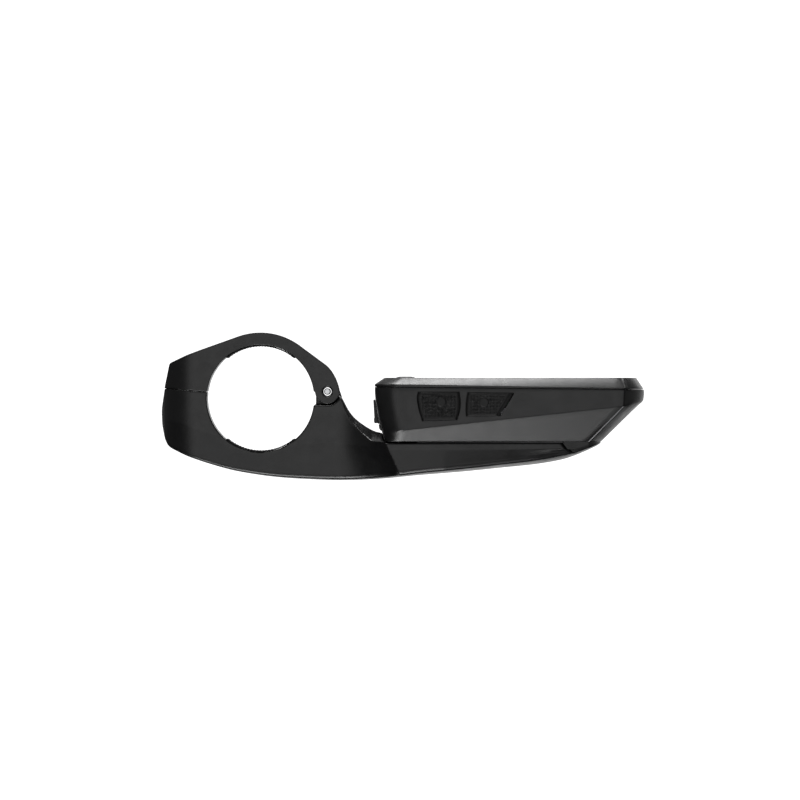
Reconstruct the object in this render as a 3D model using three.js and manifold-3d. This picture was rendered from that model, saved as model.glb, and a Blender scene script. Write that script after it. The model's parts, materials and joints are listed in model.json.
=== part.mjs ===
// A cycling computer docked on a hinged out-front handlebar mount.
// Millimetres. +X points forward along the bike, +Y to the rider's left and +Z up.
// The origin is the middle of the handlebar, at the centre of the clamp.
import * as THREE from "three";
import { mergeVertices } from "three/addons/utils/BufferGeometryUtils.js";
import Module from "manifold-3d";

// ---------------------------------------------------------------- driving dimensions
const BAR_RADIUS = 15.9; // a 31.8 mm handlebar
const PAD_THICKNESS = 0.6;
const BORE_RADIUS = BAR_RADIUS + PAD_THICKNESS;
const STRAP_RADIUS = 20; // outside of the strap over the bar
const CLAMP_HALF = 9; // half of the clamp's width
const CLAMP_TIP_X = -30.5;
const CLAMP_ROUND_X = -19.5; // behind this the clamp's end is half an ellipse in plan
const PIN = { x: 20.4, z: 2.1, radius: 1 };
const KNUCKLE_RADIUS = 3.75;
const TONGUE_HALF = 4.3;
const GAP = 0.3; // between pieces that meet
const SPLIT = { x: -29.25, z: 3, tilt: THREE.MathUtils.degToRad(4.4) }; // face where strap and arm meet
const THROUGH = 40; // far past every piece, for cuts that go right through

const TWIST_X = 70; // axis of the quarter-turn lock
const CHIN_RADIUS = 28.4; // the computer's chin turns round this cylinder
const DECK_Z = -13.6; // top of the cradle
// slotHalf is half the angle of each slot that lets a lug of the foot in, in degrees
const SOCKET = {
  radius: 16.2, wall: 13.4, lip: 10.9, slotHalf: 46,
  floor: -17.8, lipFloor: -14.9, top: -13.75,
};

const CASE = { rear: 34.9, front: 117.2, half: 24.6, top: 3.1, bottom: -13.2, wall: 1.6, floor: -10.9 };
const TAPER = 0.036; // the computer narrows this much a side per mm towards its nose
const PARTING_SLOPE = -0.0105; // fall of the line between bezel and case towards the nose
const BEZEL = { bottom: 3.25, shoulder: 3.85, top: 6.15, plate: 4.4, chamfer: 2.4 };
const FACET = { rearX: 37.7, rearZ: -10.3, frontX: 110.8, frontZ: -2.4, tilt: 34 }; // tilt in degrees
const WINDOW = { rear: 50.5, front: 112.2, half: 20, bottom: 4.95, top: 6.05 };
const PANEL = { rear: 53, front: 98, half: 16.8 };
const BOARD = { bottom: -2, top: -1 };
const FRONT_KEYS = { x: 44.3, length: 6.4, proud: 6.55 };

const SCREW_WAY = 2.2; // radius of the clamp screw's clearance hole
const PILOT = 1.1; // radius of a small screw's hole

const ROUND = 24; // segments of a full turn on small round parts
const BIG_ROUND = 48; // and on large ones
const SMALL_ROUND = 12; // on holes and posts
const TINY_ROUND = 8; // on screw shanks
const HEXAGON = 6;

// ---------------------------------------------------------------- shape and solid helpers
const wasm = await Module();
wasm.setup();
const rad = THREE.MathUtils.degToRad;

function solid(geometry) {
  const bare = geometry.clone();
  bare.deleteAttribute("normal");
  bare.deleteAttribute("uv");
  const merged = mergeVertices(bare, 1e-4);
  const mesh = new wasm.Mesh({
    numProp: 3,
    vertProperties: merged.attributes.position.array,
    triVerts: new Uint32Array(merged.index.array),
  });
  return new wasm.Manifold(mesh);
}

function geometryOf(manifold) {
  const mesh = manifold.getMesh();
  const geometry = new THREE.BufferGeometry();
  geometry.setAttribute("position", new THREE.BufferAttribute(mesh.vertProperties, 3));
  geometry.setIndex(new THREE.BufferAttribute(mesh.triVerts, 1));
  const flat = geometry.toNonIndexed();
  flat.computeVertexNormals();
  return flat;
}

// A shape drawn in (x, z) and pushed along Y.
function extrudeY(shape, y0, y1, curveSegments = 18) {
  const options = { depth: y1 - y0, bevelEnabled: false, curveSegments };
  return solid(new THREE.ExtrudeGeometry(shape, options).rotateX(Math.PI / 2).translate(0, y1, 0));
}

// A shape drawn in (x, y) and pushed along Z.
function extrudeZ(shape, z0, z1, curveSegments = 8) {
  const options = { depth: z1 - z0, bevelEnabled: false, curveSegments };
  return solid(new THREE.ExtrudeGeometry(shape, options).translate(0, 0, z0));
}

// A shape drawn in (y, z) and pushed along X.
function extrudeX(shape, x0, x1, curveSegments = 6) {
  const geometry = new THREE.ExtrudeGeometry(shape, { depth: x1 - x0, bevelEnabled: false, curveSegments });
  return solid(geometry.rotateX(Math.PI / 2).rotateZ(Math.PI / 2).translate(x0, 0, 0));
}

function box(x0, x1, y0, y1, z0, z1) {
  const geometry = new THREE.BoxGeometry(x1 - x0, y1 - y0, z1 - z0);
  return solid(geometry.translate((x0 + x1) / 2, (y0 + y1) / 2, (z0 + z1) / 2));
}

function rodY(radius, x, z, y0, y1, segments = ROUND) {
  const geometry = new THREE.CylinderGeometry(radius, radius, y1 - y0, segments);
  return solid(geometry.translate(x, (y0 + y1) / 2, z));
}

function rodZ(radius, x, y, z0, z1, segments = ROUND, topRadius = radius) {
  const geometry = new THREE.CylinderGeometry(topRadius, radius, z1 - z0, segments);
  return solid(geometry.rotateX(Math.PI / 2).translate(x, y, (z0 + z1) / 2));
}

function polygon(points) {
  return new THREE.Shape(points.map(([x, y]) => new THREE.Vector2(x, y)));
}

function roundedRectangle(x0, x1, y0, y1, radius) {
  const shape = new THREE.Shape();
  shape.absarc(x1 - radius, y0 + radius, radius, -Math.PI / 2, 0, false);
  shape.absarc(x1 - radius, y1 - radius, radius, 0, Math.PI / 2, false);
  shape.absarc(x0 + radius, y1 - radius, radius, Math.PI / 2, Math.PI, false);
  shape.absarc(x0 + radius, y0 + radius, radius, Math.PI, 1.5 * Math.PI, false);
  shape.closePath();
  return shape;
}

// The same triangles facing the other way.
function turnedRound(index) {
  const turned = [...index];
  for (let i = 0; i < index.length; i += 3) {
    turned[i + 1] = index[i + 2];
    turned[i + 2] = index[i + 1];
  }
  return turned;
}

// A closed skin over rings of [x, y, z] points, every ring with the same number of points.
function loft(rings) {
  const count = rings[0].length;
  const positions = rings.flat(2);
  const index = [];
  for (let r = 0; r + 1 < rings.length; r++) {
    for (let i = 0; i < count; i++) {
      const a = r * count + i;
      const b = r * count + ((i + 1) % count);
      index.push(a, b, b + count, a, b + count, a + count);
    }
  }
  const caps = [
    [0, true],
    [rings.length - 1, false],
  ];
  for (const [r, flip] of caps) {
    for (let i = 1; i + 1 < count; i++) {
      const [a, b, c] = [r * count, r * count + i, r * count + i + 1];
      index.push(...(flip ? [a, c, b] : [a, b, c]));
    }
  }
  const geometry = new THREE.BufferGeometry();
  geometry.setAttribute("position", new THREE.Float32BufferAttribute(positions, 3));
  geometry.setIndex(index);
  const made = solid(geometry);
  if (made.volume() > 0) return made;
  geometry.setIndex(turnedRound(index));
  return solid(geometry);
}

// Straight lines between [x, value] stops.
function along(stops, x) {
  if (x <= stops[0][0]) return stops[0][1];
  for (let i = 1; i < stops.length; i++) {
    const [x0, v0] = stops[i - 1];
    const [x1, v1] = stops[i];
    if (x <= x1) return v0 + ((v1 - v0) * (x - x0)) / (x1 - x0);
  }
  return stops[stops.length - 1][1];
}

// A smooth curve through [x, z] knots, read as a height at x.
function profileThrough(knots) {
  const curve = new THREE.SplineCurve(knots.map(([x, z]) => new THREE.Vector2(x, z)));
  const samples = curve.getPoints(knots.length * 12).map((p) => [p.x, p.y]);
  return (x) => along(samples, x);
}

const materials = {
  nylon: { color: 0x2b2b2c, roughness: 0.55, metalness: 0 },
  case: { color: 0x303133, roughness: 0.5, metalness: 0 },
  bezel: { color: 0x3a3b3d, roughness: 0.35, metalness: 0 },
  rubber: { color: 0x1c1c1d, roughness: 0.8, metalness: 0 },
  glass: { color: 0x0c0d0f, roughness: 0.08, metalness: 0 },
  lcd: { color: 0x3c423f, roughness: 0.4, metalness: 0 },
  steel: { color: 0xb8babc, roughness: 0.3, metalness: 1 },
  black_steel: { color: 0x1b1b1d, roughness: 0.4, metalness: 0.8 },
  brass: { color: 0xb08d4a, roughness: 0.35, metalness: 1 },
  board: { color: 0x14532f, roughness: 0.5, metalness: 0 },
  foam: { color: 0x151515, roughness: 0.95, metalness: 0 },
  cell: { color: 0x9aa0a6, roughness: 0.35, metalness: 0.4 },
  ceramic: { color: 0xc9b79c, roughness: 0.6, metalness: 0 },
  flex: { color: 0x9a5a1e, roughness: 0.4, metalness: 0 },
};
for (const key of Object.keys(materials)) {
  materials[key] = new THREE.MeshStandardMaterial(materials[key]);
}

const object = new THREE.Group();

function add(name, made, material) {
  const mesh = new THREE.Mesh(geometryOf(made), materials[material]);
  mesh.name = name;
  object.add(mesh);
  return mesh;
}

// ---------------------------------------------------------------- mount: arm and cradle
// The side facet of the computer's case, as a height where it starts and a half-width at the bottom.
function facetLineZ(x) {
  const slope = (FACET.frontZ - FACET.rearZ) / (FACET.frontX - FACET.rearX);
  return FACET.rearZ + slope * (x - FACET.rearX);
}

function sideAt(x, half = CASE.half) {
  return half - TAPER * (x - CASE.rear);
}

function caseBottomHalf(x) {
  return sideAt(x) - (facetLineZ(x) - CASE.bottom) * Math.tan(rad(FACET.tilt));
}

const armBottom = profileThrough([
  [-27.2, -15.2],
  [-22.4, -17.7],
  [-11.3, -21.3],
  [3.4, -23.8],
  [25.4, -25],
  [40.1, -24.1],
  [54.8, -22.9],
  [69.6, -21.6],
  [84.3, -20.1],
  [91.6, -18.7],
  [99, -16.1],
  [104.6, -13.3],
]);

const neckTop = profileThrough([
  [24.3, 0.6],
  [25.4, -1.2],
  [27.3, -4.6],
  [29.1, -6.6],
  [32.8, -9.2],
  [37.2, -11.4],
]);

const NECK_END = 37.1; // just behind the computer

// Where the flared neck's upper edge runs, lower than its crest.
const NECK_EDGE = [
  [24.3, 0.6],
  [26.7, -5.6],
  [27.9, -8.2],
  [30.3, -10.6],
  [34, -13.2],
  [37.5, DECK_Z],
];
const FLARE = { start: 25.6, radius: 12, cradleHalf: 20.6 };

function armHalf(x) {
  const reach = (CLAMP_ROUND_X - x) / (CLAMP_ROUND_X - CLAMP_TIP_X);
  if (reach > 0) return Math.max(0.8, CLAMP_HALF * Math.sqrt(Math.max(0, 1 - reach ** 2)));
  if (x < FLARE.start) return CLAMP_HALF;
  const run = Math.min(x - FLARE.start, FLARE.radius);
  const flared = CLAMP_HALF + FLARE.radius - Math.sqrt(FLARE.radius ** 2 - run ** 2);
  return Math.min(flared, FLARE.cradleHalf, caseBottomHalf(x));
}

// The neck's foot flares later than its top, so the cradle's rear corner leans forward going down.
function armFootHalf(x) {
  const lag = along([[FLARE.start, 0], [38, 4.6]], x);
  return armHalf(x - lag) - along([[24, 0.4], [44, 1.6], [84, 1.8], [95, 2.4]], x);
}

function splitZ(x) {
  return SPLIT.z - Math.tan(SPLIT.tilt) * (x - SPLIT.x);
}

const NECK_START = 24.3;

function armTop(x) {
  if (x < SPLIT.x) return THREE.MathUtils.mapLinear(x, CLAMP_TIP_X, SPLIT.x, -4.2, SPLIT.z);
  if (x < PIN.x) return splitZ(x);
  if (x < NECK_START) return neckTop(NECK_START);
  return x < NECK_END ? neckTop(x) : DECK_Z;
}

function armUnderside(x) {
  if (x < -29.4) return THREE.MathUtils.mapLinear(x, CLAMP_TIP_X, -29.4, -4.3, -11.6);
  return x < -27.2 ? THREE.MathUtils.mapLinear(x, -29.4, -27.2, -11.6, -15.2) : armBottom(x);
}

// One closed section of the arm across X: crest, upper edge, side, lower fillet and crowned keel.
function armSection(x, topZ) {
  const top = topZ(x);
  const half = armHalf(x);
  const onNeck = x > NECK_START && x < NECK_END;
  const edge = onNeck ? Math.min(top - 0.01, along(NECK_EDGE, x)) : top - 0.01;
  const crest = onNeck ? along([[NECK_START, half - 0.5], [29, Math.min(half * 0.6, 7)]], x) : half - 0.01;
  const low = armUnderside(x);
  const foot = Math.max(armFootHalf(x), half * 0.4);
  const crown = along([[-20, 0.2], [30, 0.4], [50, 0.8], [92, 1.4], [104, 0.3]], x);
  const room = (edge - low - crown) * 0.45;
  const wanted = along([[-20, 1.2], [25, 2], [44, 2.6], [90, 2.2], [104, 1]], x);
  const fillet = Math.min(wanted, foot * 0.8, room);
  const side = [
    [crest, top],
    [half, edge],
    [foot, low + crown + fillet],
    [foot - fillet * 0.3, low + crown + fillet * 0.3],
    [foot - fillet, low + crown * 0.9],
    [foot * 0.45, low + crown * 0.2],
  ];
  const mirrored = side.map(([y, z]) => [-y, z]).reverse();
  return [...side, ...mirrored].map(([y, z]) => [x, y, z]);
}

function armBody(stations, topZ) {
  return loft(stations.map((x) => armSection(x, topZ)));
}

const ARM_STATIONS = [
  -30.45, -30, -29.4, -28.4, -27.2, -25.5, -23.5, -21.5, -19.5, -14, -8, 0, 8, 16, 20.3, 24.31, 25.6, 27, 28.5,
  30.5, 32.5, 34.5, 36, 37.09, 37.5, 39, 41, 44, 50, 60, 70, 80, 86, 91.6, 95, 99, 102, 104.4,
];

// The clamp screw's axis leans with the split face, so that the strap swings off it squarely.
const SCREW_AT = { x: -23, z: 2.5 };

function alongScrew(geometry) {
  return solid(geometry.rotateY(SPLIT.tilt).translate(SCREW_AT.x, 0, SCREW_AT.z));
}

function screwRod(radius, from, to, segments = ROUND, topRadius = radius) {
  const rod = new THREE.CylinderGeometry(topRadius, radius, to - from, segments);
  return alongScrew(rod.rotateX(Math.PI / 2).translate(0, 0, (from + to) / 2));
}
// heights along the screw's own axis
const SCREW = { seat: -9.3, head: 3.8, headRadius: 3.4, shank: 1.65, tip: 6.4, bore: 4.1, drive: 3 };
const WASHER = { thick: 0.7, bore: 2, rim: 3.6 };
const INSERT = { bottom: 0.7, top: 7, radius: 3.5, thread: 2.15, collar: 4.3, collarFrom: 3, collarTo: 5 };

const bore = rodY(BORE_RADIUS, 0, 0, -THROUGH, THROUGH, BIG_ROUND);
const chinCylinder = (radius) => rodZ(radius, TWIST_X, 0, -THROUGH, 0, BIG_ROUND * 1.5);

// Room for one of the strap's two ears, beside the arm's tongue.
function hingeCup(side) {
  const [y0, y1] = [TONGUE_HALF, CLAMP_HALF + 1].map((y) => y * side).sort((a, b) => a - b);
  const cup = rodY(KNUCKLE_RADIUS + 0.45, PIN.x, PIN.z, y0, y1);
  return cup.add(box(10, PIN.x, y0, y1, PIN.z - KNUCKLE_RADIUS - 0.35, 10));
}

function makeArm() {
  const knuckle = rodY(KNUCKLE_RADIUS - 0.15, PIN.x, PIN.z, -TONGUE_HALF, TONGUE_HALF);
  const web = box(16.9, 23.9, -TONGUE_HALF, TONGUE_HALF, -4, PIN.z);
  const aboveTongue = box(14, 24, -TONGUE_HALF, TONGUE_HALF, -2, 10);
  let arm = armBody(ARM_STATIONS, armTop);
  arm = arm.intersect(chinCylinder(CHIN_RADIUS - 0.4).add(box(-THROUGH, TWIST_X, -30, 30, -THROUGH, 30)));
  arm = arm.subtract(aboveTongue).add(knuckle).add(web).subtract(bore);
  for (const side of [-1, 1]) arm = arm.subtract(hingeCup(side));
  arm = arm.subtract(rodY(PIN.radius + GAP, PIN.x, PIN.z, -THROUGH, THROUGH, SMALL_ROUND));
  // screw hole, washer seat and a deep counterbore from below
  arm = arm.subtract(screwRod(SCREW_WAY, -12, 20)).subtract(screwRod(SCREW.bore, -30, SCREW.seat));
  // pocket and pilot holes for the quarter-turn socket
  arm = arm.subtract(rodZ(SOCKET.radius + GAP, TWIST_X, 0, SOCKET.floor - 0.2, 0, BIG_ROUND));
  for (const [x, y] of SOCKET_SCREWS) {
    arm = arm.subtract(rodZ(PILOT, x, y, SOCKET_SCREW.tip - 0.2, 0, SMALL_ROUND));
  }
  return arm;
}

const SOCKET_SCREW = { head: 1.3, shank: 0.8, tip: -19.3, circle: 14.8 };
const SOCKET_SCREWS = [45, 135, 225, 315].map((a) => [
  TWIST_X + SOCKET_SCREW.circle * Math.cos(rad(a)),
  SOCKET_SCREW.circle * Math.sin(rad(a)),
]);

function sector(radius, centreDeg, halfDeg) {
  const shape = new THREE.Shape();
  shape.absarc(TWIST_X, 0, radius, rad(centreDeg - halfDeg), rad(centreDeg + halfDeg), false);
  shape.lineTo(TWIST_X, 0);
  shape.closePath();
  return shape;
}

function makeSocket() {
  let ring = rodZ(SOCKET.radius, TWIST_X, 0, SOCKET.floor, SOCKET.top, BIG_ROUND);
  ring = ring.subtract(rodZ(SOCKET.wall, TWIST_X, 0, -THROUGH, SOCKET.lipFloor, BIG_ROUND));
  ring = ring.subtract(rodZ(SOCKET.lip, TWIST_X, 0, -THROUGH, 0, BIG_ROUND));
  for (const a of [90, 270]) {
    ring = ring.subtract(extrudeZ(sector(SOCKET.wall, a, SOCKET.slotHalf), -THROUGH, 0));
  }
  for (const [x, y] of SOCKET_SCREWS) {
    ring = ring.subtract(rodZ(PILOT, x, y, -THROUGH, 0, SMALL_ROUND));
    ring = ring.subtract(rodZ(PILOT, x, y, SOCKET.top - 1.1, SOCKET.top + 0.1, SMALL_ROUND, 1.75));
  }
  return ring;
}

const PAD_SWEEP = 40; // half the angle a grip pad covers, in degrees

function padArc(centreDeg) {
  const [from, to] = [rad(centreDeg - PAD_SWEEP), rad(centreDeg + PAD_SWEEP)];
  const shape = new THREE.Shape();
  shape.absarc(0, 0, BORE_RADIUS - 0.05, from, to, false);
  shape.absarc(0, 0, BAR_RADIUS, to, from, true);
  shape.closePath();
  return extrudeY(shape, -CLAMP_HALF + 0.4, CLAMP_HALF - 0.4, 18);
}

add("mount_arm", makeArm(), "nylon");
add("lower_bar_pad", padArc(270), "rubber");
add("hinge_pin", rodY(PIN.radius, PIN.x, PIN.z, -CLAMP_HALF + 0.35, CLAMP_HALF - 0.35), "steel");
add("twist_socket", makeSocket(), "nylon");
SOCKET_SCREWS.forEach(([x, y], i) => {
  const { shank, head, tip } = SOCKET_SCREW;
  const neck = SOCKET.top - 0.9;
  const flare = rodZ(shank, x, y, neck, neck + 0.8, TINY_ROUND, head);
  add(`socket_screw_${i + 1}`, rodZ(shank, x, y, tip, neck, TINY_ROUND).add(flare), "black_steel");
});

// ---------------------------------------------------------------- mount: strap and clamp screw
function strapProfile() {
  const lift = 0.35; // over the arm's split face
  const bite = Math.PI - Math.asin((splitZ(-16.3) + lift) / BORE_RADIUS);
  const shape = new THREE.Shape();
  shape.absarc(0, 0, BORE_RADIUS, bite, Math.asin(PIN.z / BORE_RADIUS), true);
  shape.absarc(PIN.x, PIN.z, KNUCKLE_RADIUS, Math.PI, 2 * Math.PI, false);
  shape.lineTo(23.6, 3.8);
  shape.quadraticCurveTo(22.4, 7.9, 20, 9.8);
  shape.absarc(0, 0, STRAP_RADIUS, rad(52), rad(109.7), false);
  shape.lineTo(-22.4, 13.3);
  shape.lineTo(-27.9, 10.5);
  shape.lineTo(-29.2, splitZ(-29.2) + lift);
  shape.closePath();
  return shape;
}

function makeStrap() {
  const plan = new THREE.Shape();
  const reach = CLAMP_ROUND_X - CLAMP_TIP_X;
  plan.absellipse(CLAMP_ROUND_X, 0, reach, CLAMP_HALF, Math.PI / 2, 1.5 * Math.PI, false, 0);
  plan.lineTo(THROUGH, -CLAMP_HALF);
  plan.lineTo(THROUGH, CLAMP_HALF);
  plan.closePath();
  let strap = extrudeY(strapProfile(), -CLAMP_HALF, CLAMP_HALF).intersect(extrudeZ(plan, -10, 30, 20));
  const slotHalf = TONGUE_HALF + 0.4;
  strap = strap.subtract(rodY(KNUCKLE_RADIUS + 0.35, PIN.x, PIN.z, -slotHalf, slotHalf));
  strap = strap.subtract(box(10, 30, -slotHalf, slotHalf, -10, PIN.z));
  strap = strap.subtract(rodY(PIN.radius + GAP, PIN.x, PIN.z, -THROUGH, THROUGH, SMALL_ROUND));
  const cavity = screwRod(INSERT.radius + GAP, INSERT.bottom - GAP, INSERT.top + GAP);
  const collar = screwRod(INSERT.collar + GAP, INSERT.collarFrom, INSERT.collarTo);
  return strap.subtract(cavity).subtract(collar).subtract(screwRod(SCREW_WAY, -6, 2));
}

function makeInsert() {
  const barrel = screwRod(INSERT.radius, INSERT.bottom, INSERT.top);
  const collar = screwRod(INSERT.collar, INSERT.collarFrom + GAP, INSERT.collarTo - GAP);
  return barrel.add(collar).subtract(screwRod(INSERT.thread, -THROUGH, THROUGH));
}

function makeClampScrew() {
  const headTop = SCREW.seat - 0.9;
  const headEnd = headTop - SCREW.head;
  const head = screwRod(SCREW.headRadius, headEnd, headTop);
  const shank = screwRod(SCREW.shank, headTop - 0.2, SCREW.tip, SMALL_ROUND);
  const hexSocket = screwRod(SCREW.drive / Math.sqrt(3), headEnd - 1, headEnd + 2.2, HEXAGON);
  return head.add(shank).subtract(hexSocket);
}

function makeWasher() {
  const face = SCREW.seat - 0.05;
  const disc = screwRod(WASHER.rim, face - WASHER.thick, face);
  return disc.subtract(screwRod(WASHER.bore, -THROUGH, THROUGH));
}

add("clamp_strap", makeStrap(), "nylon");
add("upper_bar_pad", padArc(90), "rubber");
add("threaded_insert", makeInsert(), "brass");
add("clamp_washer", makeWasher(), "steel");
add("clamp_screw", makeClampScrew(), "black_steel");

// ---------------------------------------------------------------- computer: casings
// The plan outline of the computer: tapered sides, round rear corners, crisp shoulders and an arched nose.
function planOutline(rear, front, half, corner, divisions = 4) {
  const shoulder = { x: front - 6.2, y: sideAt(front - 6.2, half) };
  const sag = 4.4; // of the arched nose
  const noseX = front - sag;
  const noseY = shoulder.y - 1.6;
  const arch = (noseY ** 2 + sag ** 2) / (2 * sag);
  const sweep = Math.asin(noseY / arch);
  const rearY = sideAt(rear + corner, half);
  const shape = new THREE.Shape();
  shape.moveTo(rear + corner, -rearY);
  shape.lineTo(shoulder.x, -shoulder.y);
  shape.quadraticCurveTo(noseX - 0.5, 0.2 - shoulder.y, noseX, -noseY);
  shape.absarc(front - arch, 0, arch, -sweep, sweep, false);
  shape.quadraticCurveTo(noseX - 0.5, shoulder.y - 0.2, shoulder.x, shoulder.y);
  shape.lineTo(rear + corner, rearY);
  shape.absarc(rear + corner, rearY - corner, corner, Math.PI / 2, Math.PI, false);
  shape.absarc(rear + corner, corner - rearY, corner, Math.PI, 1.5 * Math.PI, false);
  const points = shape.getPoints(divisions);
  return points.filter((p, i) => p.distanceTo(points[(i + 1) % points.length]) > 1e-4);
}

function ring(z, rear, front, half, corner, slope = 0) {
  const middleX = (CASE.rear + CASE.front) / 2;
  return planOutline(rear, front, half, corner).map((p) => [p.x, p.y, z + slope * (p.x - middleX)]);
}

function circle(radius, z, count = BIG_ROUND) {
  const step = (2 * Math.PI) / count;
  return Array.from({ length: count }, (_, i) => [
    TWIST_X + radius * Math.cos(i * step),
    radius * Math.sin(i * step),
    z,
  ]);
}

// A wedge that trims one side of the case to its sloping facet.
function facetWedge(side, inset) {
  const tilt = rad(FACET.tilt);
  const drop = -THROUGH * Math.cos(tilt);
  const shape = polygon([[0, 0], [THROUGH * Math.sin(tilt), drop], [-THROUGH, drop], [-THROUGH, 0]]);
  const geometry = new THREE.ExtrudeGeometry(shape, { depth: 140, bevelEnabled: false });
  geometry.rotateX(Math.PI / 2).rotateZ(Math.PI / 2);
  const slope = Math.atan2(FACET.frontZ - FACET.rearZ, FACET.frontX - FACET.rearX);
  geometry.rotateY(-slope).rotateZ(Math.atan(TAPER));
  const start = FACET.rearX - 25;
  geometry.translate(start, -sideAt(start) + inset / Math.cos(tilt) - 0.02, facetLineZ(start));
  if (side < 0) return solid(geometry);
  geometry.scale(1, -1, 1);
  geometry.setIndex(turnedRound([...Array(geometry.attributes.position.count).keys()]));
  return solid(geometry);
}

// Where the twisting computer may be solid. Only its rear left corner passes over the neck.
function sweptKeep(inset) {
  const keep = loft([
    circle(32.3 - inset, -20),
    circle(32.3 - inset, -11.35 + inset),
    circle(35 - inset, -9.85 + inset),
    circle(37.2 - inset, -8.7 + inset),
    circle(39.7 - inset, -7.1 + inset),
    circle(60, -7 + inset),
    circle(60, 20),
  ]);
  return keep.add(box(TWIST_X - 18, 140, -40, 40, -20, 20)).add(box(0, TWIST_X, -40, 0, -20, 20));
}

// The case's outer form, or with an inset its hollow.
function caseForm(inset, top, bottom) {
  const rings = [
    [CASE.top + (inset > 0 ? 1 : 0), 0, 0],
    [0.3, 0.1, 0],
    [-1.8, 0.5, -1.3],
    [-8.2, 1.6, -7.8],
    [CASE.bottom, 3, -12.9],
  ].map(([z, rearShift, frontShift], i) =>
    ring(
      z,
      CASE.rear + rearShift + inset,
      CASE.front + frontShift - inset,
      CASE.half - inset,
      7 - inset * 0.5,
      i === 0 ? PARTING_SLOPE : 0,
    ),
  );
  let form = loft(rings);
  for (const side of [-1, 1]) form = form.subtract(facetWedge(side, inset));
  return form.intersect(sweptKeep(inset)).intersect(box(0, 140, -40, 40, bottom, top));
}

const CASE_SCREWS = [
  [42.5, 18.4],
  [42.5, -18.4],
  [101.6, 12],
  [101.6, -12],
];
const CASE_SCREW = { tunnel: 2, ledge: -3.6, head: 1.7, shank: 0.8, tip: 4.2 };
const FOOT = { flange: 15, boss: 10.5, lug: 13, top: -12.1, bottom: -16.8, lugTop: -15.2 };
const FOOT_SCREWS = [TWIST_X - 6, TWIST_X + 6];

const SIDE_KEYS = {
  side_button_rear: [[48.5, 1.8], [60.5, 1.8], [59.6, -6.4], [49.7, -6.8]],
  side_button_front: [[63.2, 1.6], [76.9, 1.6], [72.2, -5.3], [62.9, -5.3]],
};
const KEY_GAP = 0.35; // between a key and its hole
const POWER_KEY = { x0: 57, x1: 69, z0: -3.2, z1: 0.6 };

function grown(points, amount) {
  const cx = points.reduce((s, p) => s + p[0], 0) / points.length;
  const cz = points.reduce((s, p) => s + p[1], 0) / points.length;
  return points.map(([x, z]) => [x + Math.sign(x - cx) * amount, z + Math.sign(z - cz) * amount]);
}

// A thin band on the joint between case and bezel.
function sealRing(grow, z0, z1) {
  const band = (inset, from, to) =>
    loft(
      [from, to].map((z) =>
        ring(z, CASE.rear + inset, CASE.front - 0.1 - inset, CASE.half - inset, 7 - inset, PARTING_SLOPE),
      ),
    );
  return band(0.5 - grow, z0, z1).subtract(band(1.05 + grow, z0 - 1, z1 + 1));
}

function makeLowerCase() {
  let shell = caseForm(0, 10, CASE.bottom);
  // the chin continues the cradle's keel in front of the split cylinder
  const chinStations = ARM_STATIONS.filter((x) => x > 84);
  const chin = armBody(chinStations, () => CASE.bottom + 0.02);
  const footprint = extrudeZ(polygon(planOutline(CASE.rear, 104.2, 26, 7).map((p) => [p.x, p.y])), -30, 0);
  shell = shell.add(chin.intersect(footprint).subtract(chinCylinder(CHIN_RADIUS)));
  shell = shell.subtract(caseForm(CASE.wall, 10, CASE.floor));
  for (const [x, y] of CASE_SCREWS) {
    const post = rodZ(CASE_SCREW.tunnel + 1, x, y, CASE.bottom + 0.1, 2.4, SMALL_ROUND);
    shell = shell.add(post.intersect(caseForm(0.2, 2.5, CASE.bottom)));
    shell = shell.subtract(rodZ(CASE_SCREW.tunnel, x, y, -30, CASE_SCREW.ledge, SMALL_ROUND));
    shell = shell.subtract(rodZ(PILOT, x, y, -30, 10, SMALL_ROUND));
  }
  for (const x of FOOT_SCREWS) {
    shell = shell.add(rodZ(2.2, x, 0, CASE.floor - 1, -8.6, SMALL_ROUND));
    shell = shell.subtract(rodZ(PILOT, x, 0, -20, -9.2, SMALL_ROUND));
  }
  shell = shell.subtract(rodZ(FOOT.flange + GAP, TWIST_X, 0, -20, FOOT.top + 0.1, BIG_ROUND));
  shell = shell.subtract(sealRing(0.12, CASE.top - 0.4, CASE.top + 1));
  for (const outline of Object.values(SIDE_KEYS)) {
    shell = shell.subtract(extrudeY(polygon(grown(outline, KEY_GAP)), -30, -20));
  }
  shell = shell.subtract(extrudeY(powerShape(0), 20, 30, 6));
  return shell.subtract(extrudeX(roundedRectangle(-4.9, 4.9, -5.4, -1.8, 1.6), 33, 41));
}

function keyHole(y0, y1, grow) {
  const half = FRONT_KEYS.length / 2 + grow;
  return roundedRectangle(FRONT_KEYS.x - half, FRONT_KEYS.x + half, y0 - grow, y1 + grow, 1.6 + grow);
}
const FRONT_KEY_SPANS = {
  front_button_right: [-14.6, -7],
  front_button_centre: [-5.2, 5.2],
  front_button_left: [7, 14.6],
};

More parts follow.
